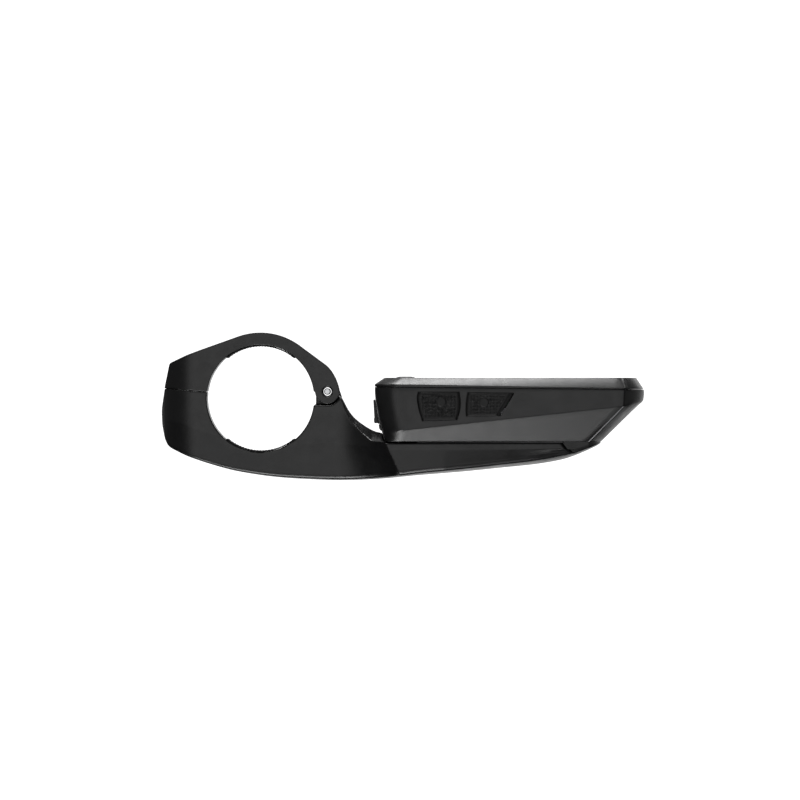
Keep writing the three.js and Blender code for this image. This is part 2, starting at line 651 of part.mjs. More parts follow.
function makeBezel() {
  let frame = loft([
    ring(BEZEL.bottom, CASE.rear, CASE.front - 0.1, CASE.half, 7, PARTING_SLOPE),
    ring(BEZEL.shoulder, CASE.rear, CASE.front - 0.3, CASE.half, 7, PARTING_SLOPE),
    ring(BEZEL.top, CASE.rear + 3, CASE.front - 2.5, CASE.half - BEZEL.chamfer, 5),
  ]);
  const hollow = loft([
    ring(0, CASE.rear + 2.2, CASE.front - 2.4, CASE.half - 2.2, 6),
    ring(BEZEL.plate, CASE.rear + 2.6, CASE.front - 2.8, CASE.half - 2.6, 6),
  ]);
  frame = frame.subtract(hollow);
  frame = frame.subtract(windowForm(0.2, WINDOW.bottom - 0.05, 10));
  const sightHalf = PANEL.half - 0.5;
  const sight = roundedRectangle(PANEL.rear + 0.5, PANEL.front - 0.8, -sightHalf, sightHalf, 1.5);
  frame = frame.subtract(extrudeZ(sight, 0, 10));
  for (const [y0, y1] of Object.values(FRONT_KEY_SPANS)) {
    frame = frame.subtract(extrudeZ(keyHole(y0, y1, KEY_GAP), 0, 10, 3));
  }
  for (const [x, y] of CASE_SCREWS) {
    const post = rodZ(1.8, x, y, 2.6, BEZEL.plate + 0.2, SMALL_ROUND);
    frame = frame.add(post).subtract(rodZ(PILOT, x, y, 0, 4.6, SMALL_ROUND));
  }
  return frame;
}

function windowForm(grow, z0, z1) {
  const outline = planOutline(WINDOW.rear - grow, WINDOW.front + grow, WINDOW.half + grow, 3);
  return loft([z0, z1].map((z) => outline.map((p) => [p.x, p.y, z])));
}

add("lower_case", makeLowerCase(), "case");
add("upper_bezel", makeBezel(), "bezel");

// ---------------------------------------------------------------- computer: foot and fasteners
function makeFoot() {
  let foot = rodZ(FOOT.flange, TWIST_X, 0, CASE.bottom, FOOT.top, BIG_ROUND);
  foot = foot.add(rodZ(FOOT.boss, TWIST_X, 0, FOOT.bottom, CASE.bottom + 0.2, BIG_ROUND));
  for (const a of [0, 180]) {
    const lug = extrudeZ(sector(FOOT.lug, a, 38), FOOT.bottom + 0.2, FOOT.lugTop);
    foot = foot.add(lug);
  }
  for (const x of FOOT_SCREWS) {
    foot = foot.subtract(rodZ(PILOT + 0.1, x, 0, -20, 0, SMALL_ROUND));
    foot = foot.subtract(rodZ(2.3, x, 0, FOOT.bottom - 1, FOOT.bottom + 1.4, SMALL_ROUND));
  }
  return foot;
}

add("twist_foot", makeFoot(), "nylon");
FOOT_SCREWS.forEach((x, i) => {
  const head = rodZ(1.9, x, 0, FOOT.bottom + 0.1, FOOT.bottom + 1.3, SMALL_ROUND);
  const shank = rodZ(0.85, x, 0, FOOT.bottom + 1, -9.5, TINY_ROUND);
  add(`foot_screw_${i + 1}`, head.add(shank), "black_steel");
});
CASE_SCREWS.forEach(([x, y], i) => {
  const head = rodZ(CASE_SCREW.head, x, y, CASE_SCREW.ledge - 1.6, CASE_SCREW.ledge - 0.1, SMALL_ROUND);
  const shank = rodZ(CASE_SCREW.shank, x, y, CASE_SCREW.ledge - 0.2, CASE_SCREW.tip, TINY_ROUND);
  const drive = rodZ(0.9, x, y, CASE_SCREW.ledge - 2, CASE_SCREW.ledge - 0.8, HEXAGON);
  add(`case_screw_${i + 1}`, head.add(shank).subtract(drive), "black_steel");
});

// ---------------------------------------------------------------- computer: display stack
function frameRing(x0, x1, half, width, radius, z0, z1) {
  const outer = extrudeZ(roundedRectangle(x0, x1, -half, half, radius), z0, z1, 6);
  const inner = roundedRectangle(x0 + width, x1 - width, width - half, half - width, radius - width * 0.6);
  return outer.subtract(extrudeZ(inner, z0 - 1, z1 + 1, 6));
}

add("display_window", windowForm(0, WINDOW.bottom, WINDOW.top), "glass");
add("display_panel", box(PANEL.rear, PANEL.front, -PANEL.half, PANEL.half, 1.6, 3.8), "lcd");
add("display_gasket", frameRing(PANEL.rear, PANEL.front, PANEL.half, 1.1, 1, 3.84, 4.36), "foam");
add("case_seal", sealRing(0, CASE.top - 0.35, CASE.top + 0.1), "rubber");

// ---------------------------------------------------------------- computer: electronics
function makeBoard() {
  const outline = planOutline(38.4, 110.5, 19.4, 3);
  let board = loft([BOARD.bottom, BOARD.top].map((z) => outline.map((p) => [p.x, p.y, z])));
  for (const [x, y] of CASE_SCREWS) {
    board = board.subtract(rodZ(CASE_SCREW.tunnel + 1.2, x, y, -10, 10, SMALL_ROUND));
  }
  return board;
}

add("main_board", makeBoard(), "board");
add("battery", extrudeZ(roundedRectangle(52.5, 93, -14.5, 14.5, 2), -8.3, -3.1, 6), "cell");
add("radio_shield", box(78, 94, -8, 8, BOARD.top, 0.8), "steel");
add("gps_antenna", box(96.5, 107.5, -6, 6, BOARD.top, 1.6), "ceramic");
add("buzzer", rodZ(4.5, 66, 12, BOARD.top, 0.9), "black_steel");

// A film folded down from the panel to the board: two flat tails and the bend between them.
function makeFlex() {
  const [bend, end, thick] = [PANEL.rear + 0.2, 58, 0.3];
  const tail = (z) => box(bend, end, -3.5, 8.5, z, z + thick);
  return tail(1.2).add(tail(-0.9)).add(box(bend, bend + thick, -3.5, 8.5, -0.9, 1.5));
}

add("display_flex", makeFlex(), "flex");

function makePort() {
  const shell = (wall) => roundedRectangle(wall - 4.45, 4.45 - wall, wall - 5.2, -2.05 - wall, 1.5 - wall);
  const tongue = box(39.5, 44.9, -3.3, 3.3, -3.95, -3.3);
  return extrudeX(shell(0), 38.3, 45).subtract(extrudeX(shell(0.4), 38, 44.5)).add(tongue);
}
add("charging_port", makePort(), "steel");

// ---------------------------------------------------------------- computer: buttons and switches
function makeFrontKey([y0, y1]) {
  const layer = (grow, z0, z1) => extrudeZ(keyHole(y0, y1, grow), z0, z1, 3);
  const crown = layer(-0.45, 6, 6.35).add(layer(-1.2, 6.3, FRONT_KEYS.proud));
  const stem = rodZ(1.2, FRONT_KEYS.x, (y0 + y1) / 2, 1.5, 3.5, SMALL_ROUND);
  return layer(0, 4, 6.05).add(crown).add(layer(0.8, 3.3, 4.1)).add(stem);
}

function tactSwitch(x, y) {
  return box(x - 1.6, x + 1.6, y - 1.6, y + 1.6, BOARD.top, 0.4).add(rodZ(0.8, x, y, 0.3, 0.9, TINY_ROUND));
}

for (const [name, span] of Object.entries(FRONT_KEY_SPANS)) {
  add(name, makeFrontKey(span), "rubber");
  add(name.replace("button", "switch"), tactSwitch(FRONT_KEYS.x, (span[0] + span[1]) / 2), "black_steel");
}

function middle(points) {
  return points.reduce((sum, p) => [sum[0] + p[0] / points.length, sum[1] + p[1] / points.length], [0, 0]);
}

// Side keys fill their holes to just above the case's skin and carry a flange inside its wall.
const SIDE = {
  flangeOut: 21.2,
  flangeIn: 20.6,
  stem: 19.1,
  plunger: 18.6,
  switchOut: 18.1,
  switchIn: 15.6,
  keyZ: -3.1, // height of the stems behind the two control keys
  powerZ: -2.8, // and behind the power key
};

function sideKey(shape, flange, proud, cx, cz) {
  const skin = caseForm(-proud, 10, -20);
  const cap = extrudeY(shape, -30, -SIDE.flangeOut + 0.1, 6).intersect(skin);
  const brim = extrudeY(flange, -SIDE.flangeOut, -SIDE.flangeIn, 6);
  return cap.add(brim).add(rodY(0.9, cx, cz, -SIDE.flangeIn - 0.1, -SIDE.stem, SMALL_ROUND));
}

function sideSwitch(cx, cz) {
  const body = box(cx - 1.7, cx + 1.7, -SIDE.switchOut, -SIDE.switchIn, -4.2, BOARD.bottom);
  return body.add(rodY(0.6, cx, cz, -SIDE.plunger, -SIDE.switchOut + 0.1, TINY_ROUND));
}

for (const [name, outline] of Object.entries(SIDE_KEYS)) {
  const [cx] = middle(outline);
  add(name, sideKey(polygon(outline), polygon(grown(outline, 0.8)), 0.12, cx, SIDE.keyZ), "rubber");
  add(name.replace("button", "switch"), sideSwitch(cx, SIDE.keyZ), "black_steel");
}

function powerShape(grow) {
  const { x0, x1, z0, z1 } = POWER_KEY;
  return roundedRectangle(x0 - grow, x1 + grow, z0 - grow, z1 + grow, 1.85 + grow);
}

const powerX = (POWER_KEY.x0 + POWER_KEY.x1) / 2;
const toOtherSide = [1, -1, 1];
const powerKey = sideKey(powerShape(-KEY_GAP), powerShape(0.5), 0.4, powerX, SIDE.powerZ);
add("power_button", powerKey.scale(toOtherSide), "rubber");
add("power_switch", sideSwitch(powerX, SIDE.powerZ).scale(toOtherSide), "black_steel");

// ---------------------------------------------------------------- computer: port cover
// A flap whose inner face follows the sloping rear wall, with a plug that fills the port.
function makePortCover() {
  const profile = [[34.45, -0.3], [34.9, -7.6], [36.2, -7.6], [35.2, -1.8], [34.93, -0.3]];
  return extrudeY(polygon(profile), -6.6, 6.6).add(box(35.1, 37, -4.3, 4.3, -4.5, -2.4));
}

add("port_cover", makePortCover(), "rubber");

export default object;
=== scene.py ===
"""The looks of a cycling computer on its out-front handlebar mount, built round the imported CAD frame."""
import json
import math

import bmesh
import bpy
import numpy as np
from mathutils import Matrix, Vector


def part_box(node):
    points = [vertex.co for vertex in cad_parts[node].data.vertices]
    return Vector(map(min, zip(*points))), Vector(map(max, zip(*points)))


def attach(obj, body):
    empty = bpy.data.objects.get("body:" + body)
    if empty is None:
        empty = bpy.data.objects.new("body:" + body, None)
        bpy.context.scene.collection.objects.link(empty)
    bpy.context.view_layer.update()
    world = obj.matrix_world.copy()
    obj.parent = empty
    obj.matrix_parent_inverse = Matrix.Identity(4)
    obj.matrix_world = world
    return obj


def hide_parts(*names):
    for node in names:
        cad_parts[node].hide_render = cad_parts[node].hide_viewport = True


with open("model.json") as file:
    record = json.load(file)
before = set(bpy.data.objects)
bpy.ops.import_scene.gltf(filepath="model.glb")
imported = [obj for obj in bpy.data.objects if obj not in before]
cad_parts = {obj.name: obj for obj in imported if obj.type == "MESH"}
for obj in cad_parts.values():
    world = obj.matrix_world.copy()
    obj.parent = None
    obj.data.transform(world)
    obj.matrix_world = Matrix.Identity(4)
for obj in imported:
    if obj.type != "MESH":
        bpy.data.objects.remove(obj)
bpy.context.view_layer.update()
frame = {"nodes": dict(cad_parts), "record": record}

MM = 0.001

# ---------- sizes shared with the frame, in mm


def corners(node):
    """Lowest and highest corner of a CAD node, in mm."""
    low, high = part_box(node)
    return [v / MM for v in low], [v / MM for v in high]


JOINTS = {j["name"]: j for j in frame["record"]["behaviour"]["joints"]}
PIN_X, _, PIN_Z = [v / MM for v in JOINTS["strap_hinge"]["pos_m"]]
TWIST_X = JOINTS["computer_twist"]["pos_m"][0] / MM
SCREW_X, _, SCREW_Z = [v / MM for v in JOINTS["clamp_screw_turn"]["pos_m"]]
SCREW_AXIS = JOINTS["clamp_screw_turn"]["axis"]
SCREW_TILT = math.atan2(-SCREW_AXIS[0], -SCREW_AXIS[2])

BAR_RADIUS = 15.9
PAD_THICKNESS = 0.45
BORE_RADIUS = BAR_RADIUS + PAD_THICKNESS
STRAP_RADIUS = 20.12
CLAMP_HALF = 9.0
CLAMP_TIP_X = corners("mount_arm")[0][0]
CLAMP_ROUND_X = -19.5  # behind this the clamp's end is round in plan
SPLIT_X, SPLIT_Z = -29.25, 3.0  # rear end of the line that parts strap and arm
KNUCKLE_RADIUS = 3.75
TONGUE_HALF = 4.3
HORN_HALF = 3.5
PIN_BORE = 1.3
SCREW_BORE = 2.2

CASE_REAR, CASE_FRONT, CASE_HALF = 34.9, 117.2, 24.6
CASE_BOTTOM = -13.2
CASE_WALL = 1.6
CASE_FLOOR = -10.9  # upper face of the case's floor
TAPER = 0.036  # how much narrower each side of the case gets per mm forwards
DECK_Z = -13.6  # top of the cradle
CHIN_RADIUS, CHIN_FLARE = 27.3, 0.55  # parting cone under the nose: radius at the case, growth per mm down
PLATEAU_RADIUS = 27.75
BEZEL_TOP = corners("upper_bezel")[1][2] + 0.12  # the CAD top is a little lower
BEZEL_INSET = 2.4
FACET_TILT = math.tan(math.radians(34))  # how far the lower facet leans in per mm down
SELF_TAP = 1.1  # bore radius of every hole that a small screw cuts its own thread in


def lerp(a, b, t):
    return a + (b - a) * t


def along(stops, x):
    """Straight lines between (x, value) stops."""
    return float(np.interp(x, [s[0] for s in stops], [s[1] for s in stops]))


def smooth_along(knots, x):
    """A Catmull-Rom curve through (x, value) knots, read at x."""
    xs = [k[0] for k in knots]
    i = int(np.clip(np.searchsorted(xs, x) - 1, 0, len(xs) - 2))
    x0, v0 = knots[i]
    x1, v1 = knots[i + 1]
    before = knots[max(i - 1, 0)]
    after = knots[min(i + 2, len(knots) - 1)]
    m0 = (v1 - before[1]) / (x1 - before[0])
    m1 = (after[1] - v0) / (after[0] - x0)
    t = min(max((x - x0) / (x1 - x0), 0.0), 1.0)
    h = x1 - x0
    return (
        (2 * t**3 - 3 * t**2 + 1) * v0
        + (t**3 - 2 * t**2 + t) * h * m0
        + (3 * t**2 - 2 * t**3) * v1
        + (t**3 - t**2) * h * m1
    )


def side_at(x, half=CASE_HALF):
    """Half of the width of something that tapers as the case does."""
    return half - TAPER * (x - CASE_REAR)


def facet_z(x):
    """Height of the line where the case's side breaks into its lower facet."""
    return along([(20, -12.21), (125, -0.87)], x)


def parting_z(x):
    """Height of the line between case and bezel."""
    return along([(CASE_REAR, 3.5), (CASE_FRONT, 2.7)], x)


# ---------- mesh helpers, all taking mm


def mesh_object(name, verts, faces):
    mesh = bpy.data.meshes.new(name)
    mesh.from_pydata([Vector(v) * MM for v in verts], [], faces)
    mesh.update()
    bm = bmesh.new()
    bm.from_mesh(mesh)
    bmesh.ops.recalc_face_normals(bm, faces=bm.faces)
    bm.to_mesh(mesh)
    bm.free()
    made = bpy.data.objects.new(name, mesh)
    bpy.context.scene.collection.objects.link(made)
    return made


def skin(name, rings):
    """A closed skin over rings of points, capped at both ends."""
    count = len(rings[0])
    verts = [p for ring in rings for p in ring]
    faces = []
    for r in range(len(rings) - 1):
        for i in range(count):
            j = (i + 1) % count
            faces.append((r * count + i, r * count + j, (r + 1) * count + j, (r + 1) * count + i))
    faces.append(tuple(reversed(range(count))))
    last = (len(rings) - 1) * count
    faces.append(tuple(range(last, last + count)))
    return mesh_object(name, verts, faces)


def prism_y(name, profile, y0, y1):
    return skin(name, [[(x, y, z) for x, z in profile] for y in (y0, y1)])


def prism_z(name, outline, z0, z1):
    return skin(name, [[(x, y, z) for x, y in outline] for z in (z0, z1)])


def lathe(name, profile, steps=96):
    """A closed (radius, height) profile turned about Z. Radii of 0 close the ends."""
    rings = []
    for radius, height in profile:
        rings.append([(radius * math.cos(a), radius * math.sin(a), height) for a in turns(steps)])
    return skin(name, rings)


def tube_of(name, profile, steps=96):
    """A ring-shaped solid: a closed (radius, height) profile turned about Z."""
    verts = [(r * math.cos(a), r * math.sin(a), h) for a in turns(steps) for r, h in profile]
    n = len(profile)
    faces = []
    for k in range(steps):
        m = (k + 1) % steps
        faces += [(k * n + i, k * n + (i + 1) % n, m * n + (i + 1) % n, m * n + i) for i in range(n)]
    return mesh_object(name, verts, faces)


def place(piece, shift, tilt_y=0.0, turn_x=0.0):
    """Bakes a turn about X, a turn about Y and then a move in mm into the mesh."""
    mesh = piece.data
    co = np.array([v.co for v in mesh.vertices])
    cx, sx = math.cos(turn_x), math.sin(turn_x)
    co = co @ np.array([[1, 0, 0], [0, cx, -sx], [0, sx, cx]]).T
    cy, sy = math.cos(tilt_y), math.sin(tilt_y)
    co = co @ np.array([[cy, 0, sy], [0, 1, 0], [-sy, 0, cy]]).T
    co += np.array(shift) * MM
    mesh.vertices.foreach_set("co", co.ravel())
    mesh.update()
    return piece


def rod_y(name, radius, x, z, y0, y1, steps=96):
    ring = [(x + radius * math.cos(a), z + radius * math.sin(a)) for a in turns(steps)]
    return prism_y(name, ring, y0, y1)


def rod_z(name, radius, x, y, z0, z1, steps=96):
    ring = [(x + radius * math.cos(a), y + radius * math.sin(a)) for a in turns(steps)]
    return prism_z(name, ring, z0, z1)


def turns(steps):
    return [2 * math.pi * k / steps for k in range(steps)]


def arc(cx, cz, radius, start, end, steps):
    """Points on an arc, angles in degrees."""
    angles = np.radians(np.linspace(start, end, steps + 1))
    return [(cx + radius * math.cos(a), cz + radius * math.sin(a)) for a in angles]


def bezier(p0, p1, p2, steps):
    """Points on a quadratic curve."""
    points = []
    for t in np.linspace(0, 1, steps + 1):
        u = 1 - t
        points.append(tuple(u**2 * a + 2 * t * u * b + t * t * c for a, b, c in zip(p0, p1, p2)))
    return points


def spread_y(side, inner, outer):
    """The two y of something that lies between two distances from the middle, on one side."""
    return sorted((side * inner, side * outer))


def rounded_rectangle(x0, x1, y0, y1, r, steps=8):
    return (
        arc(x1 - r, y0 + r, r, -90, 0, steps)
        + arc(x1 - r, y1 - r, r, 0, 90, steps)
        + arc(x0 + r, y1 - r, r, 90, 180, steps)
        + arc(x0 + r, y0 + r, r, 180, 270, steps)
    )


def bake(piece):
    """Applies every modifier."""
    graph = bpy.context.evaluated_depsgraph_get()
    made = bpy.data.meshes.new_from_object(piece.evaluated_get(graph))
    old = piece.data
    piece.modifiers.clear()
    piece.data = made
    bpy.data.meshes.remove(old)
    return piece


def weld(piece):
    """Merges points closer than a hundredth of a hair, which booleans leave along their seams."""
    bm = bmesh.new()
    bm.from_mesh(piece.data)
    bmesh.ops.remove_doubles(bm, verts=bm.verts, dist=0.0005 * MM)
    bm.to_mesh(piece.data)
    bm.free()


def combine(piece, others, operation):
    """One exact boolean after another. The other pieces are used up."""
    for other in others:
        mod = piece.modifiers.new("combine", "BOOLEAN")
        mod.operation = operation
        mod.solver = "EXACT"
        mod.object = other
        bake(piece)
        weld(piece)
        bpy.data.objects.remove(other)
    return piece


def cut(piece, *cutters):
    return combine(piece, cutters, "DIFFERENCE")


def join(piece, *others):
    return combine(piece, others, "UNION")


def keep_inside(piece, *others):
    return combine(piece, others, "INTERSECT")


def bevel(piece, width, segments=3, angle=30):
    mod = piece.modifiers.new("bevel", "BEVEL")
    mod.width = width * MM
    mod.segments = segments
    mod.limit_method = "ANGLE"
    mod.angle_limit = math.radians(angle)
    return bake(piece)


def soften(piece, voxel, passes):
    """Rebuilds a piece as one even mesh whose edges are rounded like a moulding's."""
    mod = piece.modifiers.new("remesh", "REMESH")
    mod.mode = "VOXEL"
    mod.voxel_size = voxel * MM
    smooth = piece.modifiers.new("smooth", "SMOOTH")
    smooth.factor = 0.5
    smooth.iterations = passes
    return bake(piece)


def shade(piece, angle=32):
    """Smooth shading with sharp edges kept past an angle."""
    for polygon in piece.data.polygons:
        polygon.use_smooth = True
    piece.data.set_sharp_from_angle(angle=math.radians(angle))
    return piece


def finish_piece(piece, body, nodes, material, angle=32):
    """Shades and paints a piece, puts it on its body, and hides the CAD nodes it stands for."""
    shade(piece, angle)
    piece.data.materials.clear()
    piece.data.materials.append(material)
    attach(piece, body)
    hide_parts(*nodes)
    return piece


# ---------- materials


class Nodes:
    """A short way to write a node tree."""

    def __init__(self, owner):
        owner.use_nodes = True
        self.tree = owner.node_tree

    def add(self, kind, **settings):
        node = self.tree.nodes.new(kind)
        for key, value in settings.items():
            setattr(node, key, value)
        return node

    def link(self, source, target):
        self.tree.links.new(source, target)

    def spread(self, source, low, high, start=0.3, end=0.7, shape="LINEAR"):
        """Maps what lies between start and end to what lies between low and high."""
        node = self.add("ShaderNodeMapRange", interpolation_type=shape)
        node.inputs["From Min"].default_value = start
        node.inputs["From Max"].default_value = end
        node.inputs["To Min"].default_value = low
        node.inputs["To Max"].default_value = high
        self.link(source, node.inputs["Value"])
        return node.outputs["Result"]

    def math(self, operation, a, b):
        node = self.add("ShaderNodeMath", operation=operation)
        for socket, value in zip(node.inputs, (a, b)):
            if isinstance(value, (int, float)):
                socket.default_value = value
            else:
                self.link(value, socket)
        return node.outputs[0]

    def blend_by_camera(self, for_light, for_camera, target):
        """Shows one shader to the camera and the other to the light."""
        node = self.add("ShaderNodeMixShader")
        self.link(self.add("ShaderNodeLightPath").outputs["Is Camera Ray"], node.inputs["Fac"])
        self.link(for_light, node.inputs[1])
        self.link(for_camera, node.inputs[2])
        self.link(node.outputs[0], target)


class Surface(Nodes):
    """The node tree of one material, with its Principled shader."""

    def __init__(self, name):
        self.material = bpy.data.materials.new(name)
        super().__init__(self.material)
        self.shader = self.tree.nodes["Principled BSDF"]
        self.where = self.add("ShaderNodeTexCoord").outputs["Object"]

    def noise(self, scale, detail=4.0, roughness=0.6):
        node = self.add("ShaderNodeTexNoise")
        node.inputs["Scale"].default_value = scale
        node.inputs["Detail"].default_value = detail
        node.inputs["Roughness"].default_value = roughness
        self.link(self.where, node.inputs["Vector"])
        return node.outputs["Fac"]

    def mix(self, factor, a, b):
        node = self.add("ShaderNodeMix", data_type="RGBA")
        self.link(factor, node.inputs[0])
        for socket, value in ((node.inputs[6], a), (node.inputs[7], b)):
            if isinstance(value, tuple):
                socket.default_value = (*value, 1.0)
            else:
                self.link(value, socket)
        return node.outputs[2]

    def edge_wear(self, strength):
        """Bright on convex edges."""
        point = self.add("ShaderNodeNewGeometry").outputs["Pointiness"]
        return self.spread(point, 0.0, strength, 0.52, 0.60)

    def bump(self, height, distance, strength=1.0):
        node = self.add("ShaderNodeBump")
        node.inputs["Distance"].default_value = distance
        node.inputs["Strength"].default_value = strength
        self.link(height, node.inputs["Height"])
        self.link(node.outputs["Normal"], self.shader.inputs["Normal"])


def tint(colour, amount):
    return tuple(min(1.0, c * amount) for c in colour)


def moulded(name, colour, rough, grain=3200.0, depth=0.00002, wear=0.25, metallic=0.0, gloss=0.5):
    """Matte moulding: fine erosion grain, slow tone changes, duller scuffs and polished edges."""
    n = Surface(name)
    grit = n.noise(grain, 3.0, 0.7)
    cloud = n.noise(55.0, 3.0)
    scuff = n.noise(240.0, 5.0, 0.7)
    base = n.mix(n.spread(cloud, 0.0, 1.0), tint(colour, 0.86), tint(colour, 1.16))
    worn = n.mix(n.edge_wear(wear), base, tint(colour, 2.4))
    n.link(worn, n.shader.inputs["Base Color"])
    n.link(n.math("ADD", n.spread(scuff, -0.05, 0.07), rough), n.shader.inputs["Roughness"])
    n.shader.inputs["Metallic"].default_value = metallic
    n.shader.inputs["Specular IOR Level"].default_value = gloss
    n.bump(grit, depth)
    return n.material


def steel(name, colour, rough, streak=(900.0, 900.0, 60.0)):
    """Turned or drawn steel with fine streaks."""
    n = Surface(name)
    stretch = n.add("ShaderNodeMapping")
    stretch.inputs["Scale"].default_value = streak
    n.link(n.where, stretch.inputs["Vector"])
    grain = n.add("ShaderNodeTexNoise")
    grain.inputs["Scale"].default_value = 4.0
    grain.inputs["Detail"].default_value = 6.0
    n.link(stretch.outputs["Vector"], grain.inputs["Vector"])
    tone = n.spread(grain.outputs["Fac"], 0.0, 1.0)
    n.link(n.mix(tone, tint(colour, 0.82), tint(colour, 1.1)), n.shader.inputs["Base Color"])
    n.link(n.spread(grain.outputs["Fac"], rough - 0.06, rough + 0.1), n.shader.inputs["Roughness"])
    n.shader.inputs["Metallic"].default_value = 1.0
    n.bump(grain.outputs["Fac"], 0.000006)
    return n.material


def cover_glass(name, alpha):
    """Smoked glass with a faint haze of finger marks."""
    n = Surface(name)
    haze = n.noise(90.0, 5.0, 0.65)
    smoke = n.mix(n.spread(haze, 0, 1), (0.006, 0.006, 0.008), (0.012, 0.012, 0.015))
    n.link(smoke, n.shader.inputs["Base Color"])
    n.link(n.spread(haze, 0.04, 0.12), n.shader.inputs["Roughness"])
    n.shader.inputs["IOR"].default_value = 1.5
    n.shader.inputs["Alpha"].default_value = alpha
    return n.material


def grid(n, offset, width, height, gap, colours):
    """Fills a surface with a fine grid of two cell colours and a gap colour, and returns its mask."""
    brick = n.add("ShaderNodeTexBrick", offset=offset)
    sizes = {"Scale": 1.0, "Brick Width": width, "Row Height": height, "Mortar Size": gap}
    for key, value in sizes.items():
        brick.inputs[key].default_value = value
    for key, colour in zip(("Color1", "Color2", "Mortar"), colours):
        brick.inputs[key].default_value = (*colour, 1)
    n.link(n.where, brick.inputs["Vector"])
    n.link(brick.outputs["Color"], n.shader.inputs["Base Color"])
    return brick.outputs["Fac"]


def liquid_crystal(name):
    """A switched-off reflective display with its fine cell grid."""
    n = Surface(name)
    cells = [(0.20, 0.215, 0.19), (0.21, 0.222, 0.20), (0.15, 0.165, 0.15)]
    grid(n, 0.0, 0.00022, 0.00022, 0.00002, cells)
    n.link(n.spread(n.noise(30.0), 0.3, 0.42), n.shader.inputs["Roughness"])
    return n.material


def circuit_board(name):
    """Green solder mask over copper tracks."""
    n = Surface(name)
    greens = [(0.012, 0.11, 0.05), (0.015, 0.13, 0.058), (0.05, 0.2, 0.08)]
    tracks = grid(n, 0.37, 0.0042, 0.0011, 0.00014, greens)
    n.link(n.spread(n.noise(400.0), 0.3, 0.45), n.shader.inputs["Roughness"])
    n.bump(tracks, 0.00004)
    return n.material


NYLON = moulded("nylon", (0.0055, 0.0055, 0.0058), 0.33)
CASE_PLASTIC = moulded("case_plastic", (0.0055, 0.0056, 0.006), 0.36, grain=3800.0, depth=0.000015)
# painted highlight: a light grey that stands in for the light caught by the nose's shoulder chamfers
PAINTED_HIGHLIGHT = moulded("painted_highlight_edge", (0.30, 0.30, 0.31), 0.3, grain=3800.0, depth=0.000005)
BEZEL_PLASTIC = moulded("bezel_plastic", (0.007, 0.0072, 0.0076), 0.3, grain=3800.0, depth=0.00001)
RUBBER = moulded("rubber", (0.008, 0.008, 0.0084), 0.6, grain=2200.0, depth=0.00002, wear=0.12, gloss=0.2)
COVER_RUBBER = moulded("cover_rubber", (0.045, 0.045, 0.046), 0.5, grain=2200.0, depth=0.00002, wear=0.12)
KEY_RUBBER = moulded(
    "key_rubber", (0.004, 0.004, 0.0042), 0.5, grain=2600.0, depth=0.00001, wear=0.2, gloss=0.4
)
FOAM = moulded("foam", (0.012, 0.012, 0.012), 0.95, grain=1400.0, depth=0.00008, wear=0.0)
BRIGHT_STEEL = steel("bright_steel", (0.62, 0.63, 0.64), 0.26)
BLACK_STEEL = moulded("black_oxide", (0.022, 0.022, 0.024), 0.36, grain=2600.0, wear=0.5, metallic=0.85)
BRASS = steel("brass", (0.70, 0.50, 0.22), 0.3)
CELL_FOIL = moulded("cell_foil", (0.42, 0.43, 0.45), 0.34, grain=700.0, depth=0.00006, metallic=0.8)
CERAMIC = moulded("ceramic", (0.52, 0.43, 0.31), 0.62, grain=900.0, depth=0.00003)
POLYIMIDE = moulded("polyimide", (0.36, 0.15, 0.03), 0.34, grain=500.0)
GLASS_BORDER = cover_glass("printed_glass", 1.0)
GLASS_CLEAR = cover_glass("clear_glass", 0.42)
LCD = liquid_crystal("liquid_crystal")
BOARD = circuit_board("circuit_board")

# ---------- mount: arm

ARM_BOTTOM = [
    (-27.2, -15.45), (-26, -16.05), (-22.4, -17.75), (-15, -20.25), (-7.7, -22.2), (3.4, -23.95),
    (14.4, -24.75), (25.4, -25.05), (36.5, -24.6), (47.5, -23.6), (62.2, -22.4), (73.2, -21.3),
    (84.3, -20.15), (91.6, -18.9), (95.3, -17.8), (99, -16.3), (102.7, -14.55), (104.0, -13.7),
]
ARM_END = [
    (CLAMP_TIP_X, -4.3), (-30.3, -7.5), (-30.1, -9.4), (-29.6, -11.9), (-29.1, -13.2), (-28.4, -14.6),
    (-27.2, -15.45),
]
NECK_TOP = [
    (24.3, 1.0), (25.1, -0.25), (26.1, -2.3), (27.0, -3.85), (27.9, -5.1), (29.1, -6.35), (31, -7.85),
    (33.1, -9.2), (34.9, -10.1), (36.0, -10.4), (37.05, -10.6), (37.28, -10.95), (37.7, -12.6),
    (37.98, -13.15),
]
NECK_EDGE = [(24.3, 1.0), (26, -3.6), (27.9, -7.4), (31.3, -10.7), (34, -13.1), (38, -13.2)]
NECK_END = 38.0
FLARE_START, FLARE_RADIUS, CRADLE_HALF = 22.6, 16.0, 20.6
RIDGE_X = 38.0
RIDGE_RAKE = 0.47
CROWN = [(-20, 0.2), (30, 0.4), (50, 0.8), (92, 1.4), (104, 0.3)]  # how far the belly bulges below its rims
BELLY_FILLET = [(-20, 0.8), (12, 1.2), (25, 1.3), (44, 1.7), (90, 1.5), (104, 0.8)]


def case_bottom_half(x):
    """Half of the width of the case's underside."""
    return side_at(x) - (facet_z(x) - CASE_BOTTOM) * FACET_TILT


def arm_half(x):
    """Half of the arm's width: round at the tip, then straight, then flared to the cradle."""
    if x < CLAMP_ROUND_X:
        reach = (x - CLAMP_ROUND_X) / (CLAMP_ROUND_X - CLAMP_TIP_X)
        return max(0.8, CLAMP_HALF * math.sqrt(max(0.0, 1 - reach * reach)))
    if x < FLARE_START:
        return CLAMP_HALF
    reach = min(x - FLARE_START, FLARE_RADIUS)
    flared = CLAMP_HALF + FLARE_RADIUS - math.sqrt(FLARE_RADIUS**2 - reach**2)
    return min(flared, CRADLE_HALF, case_bottom_half(x))


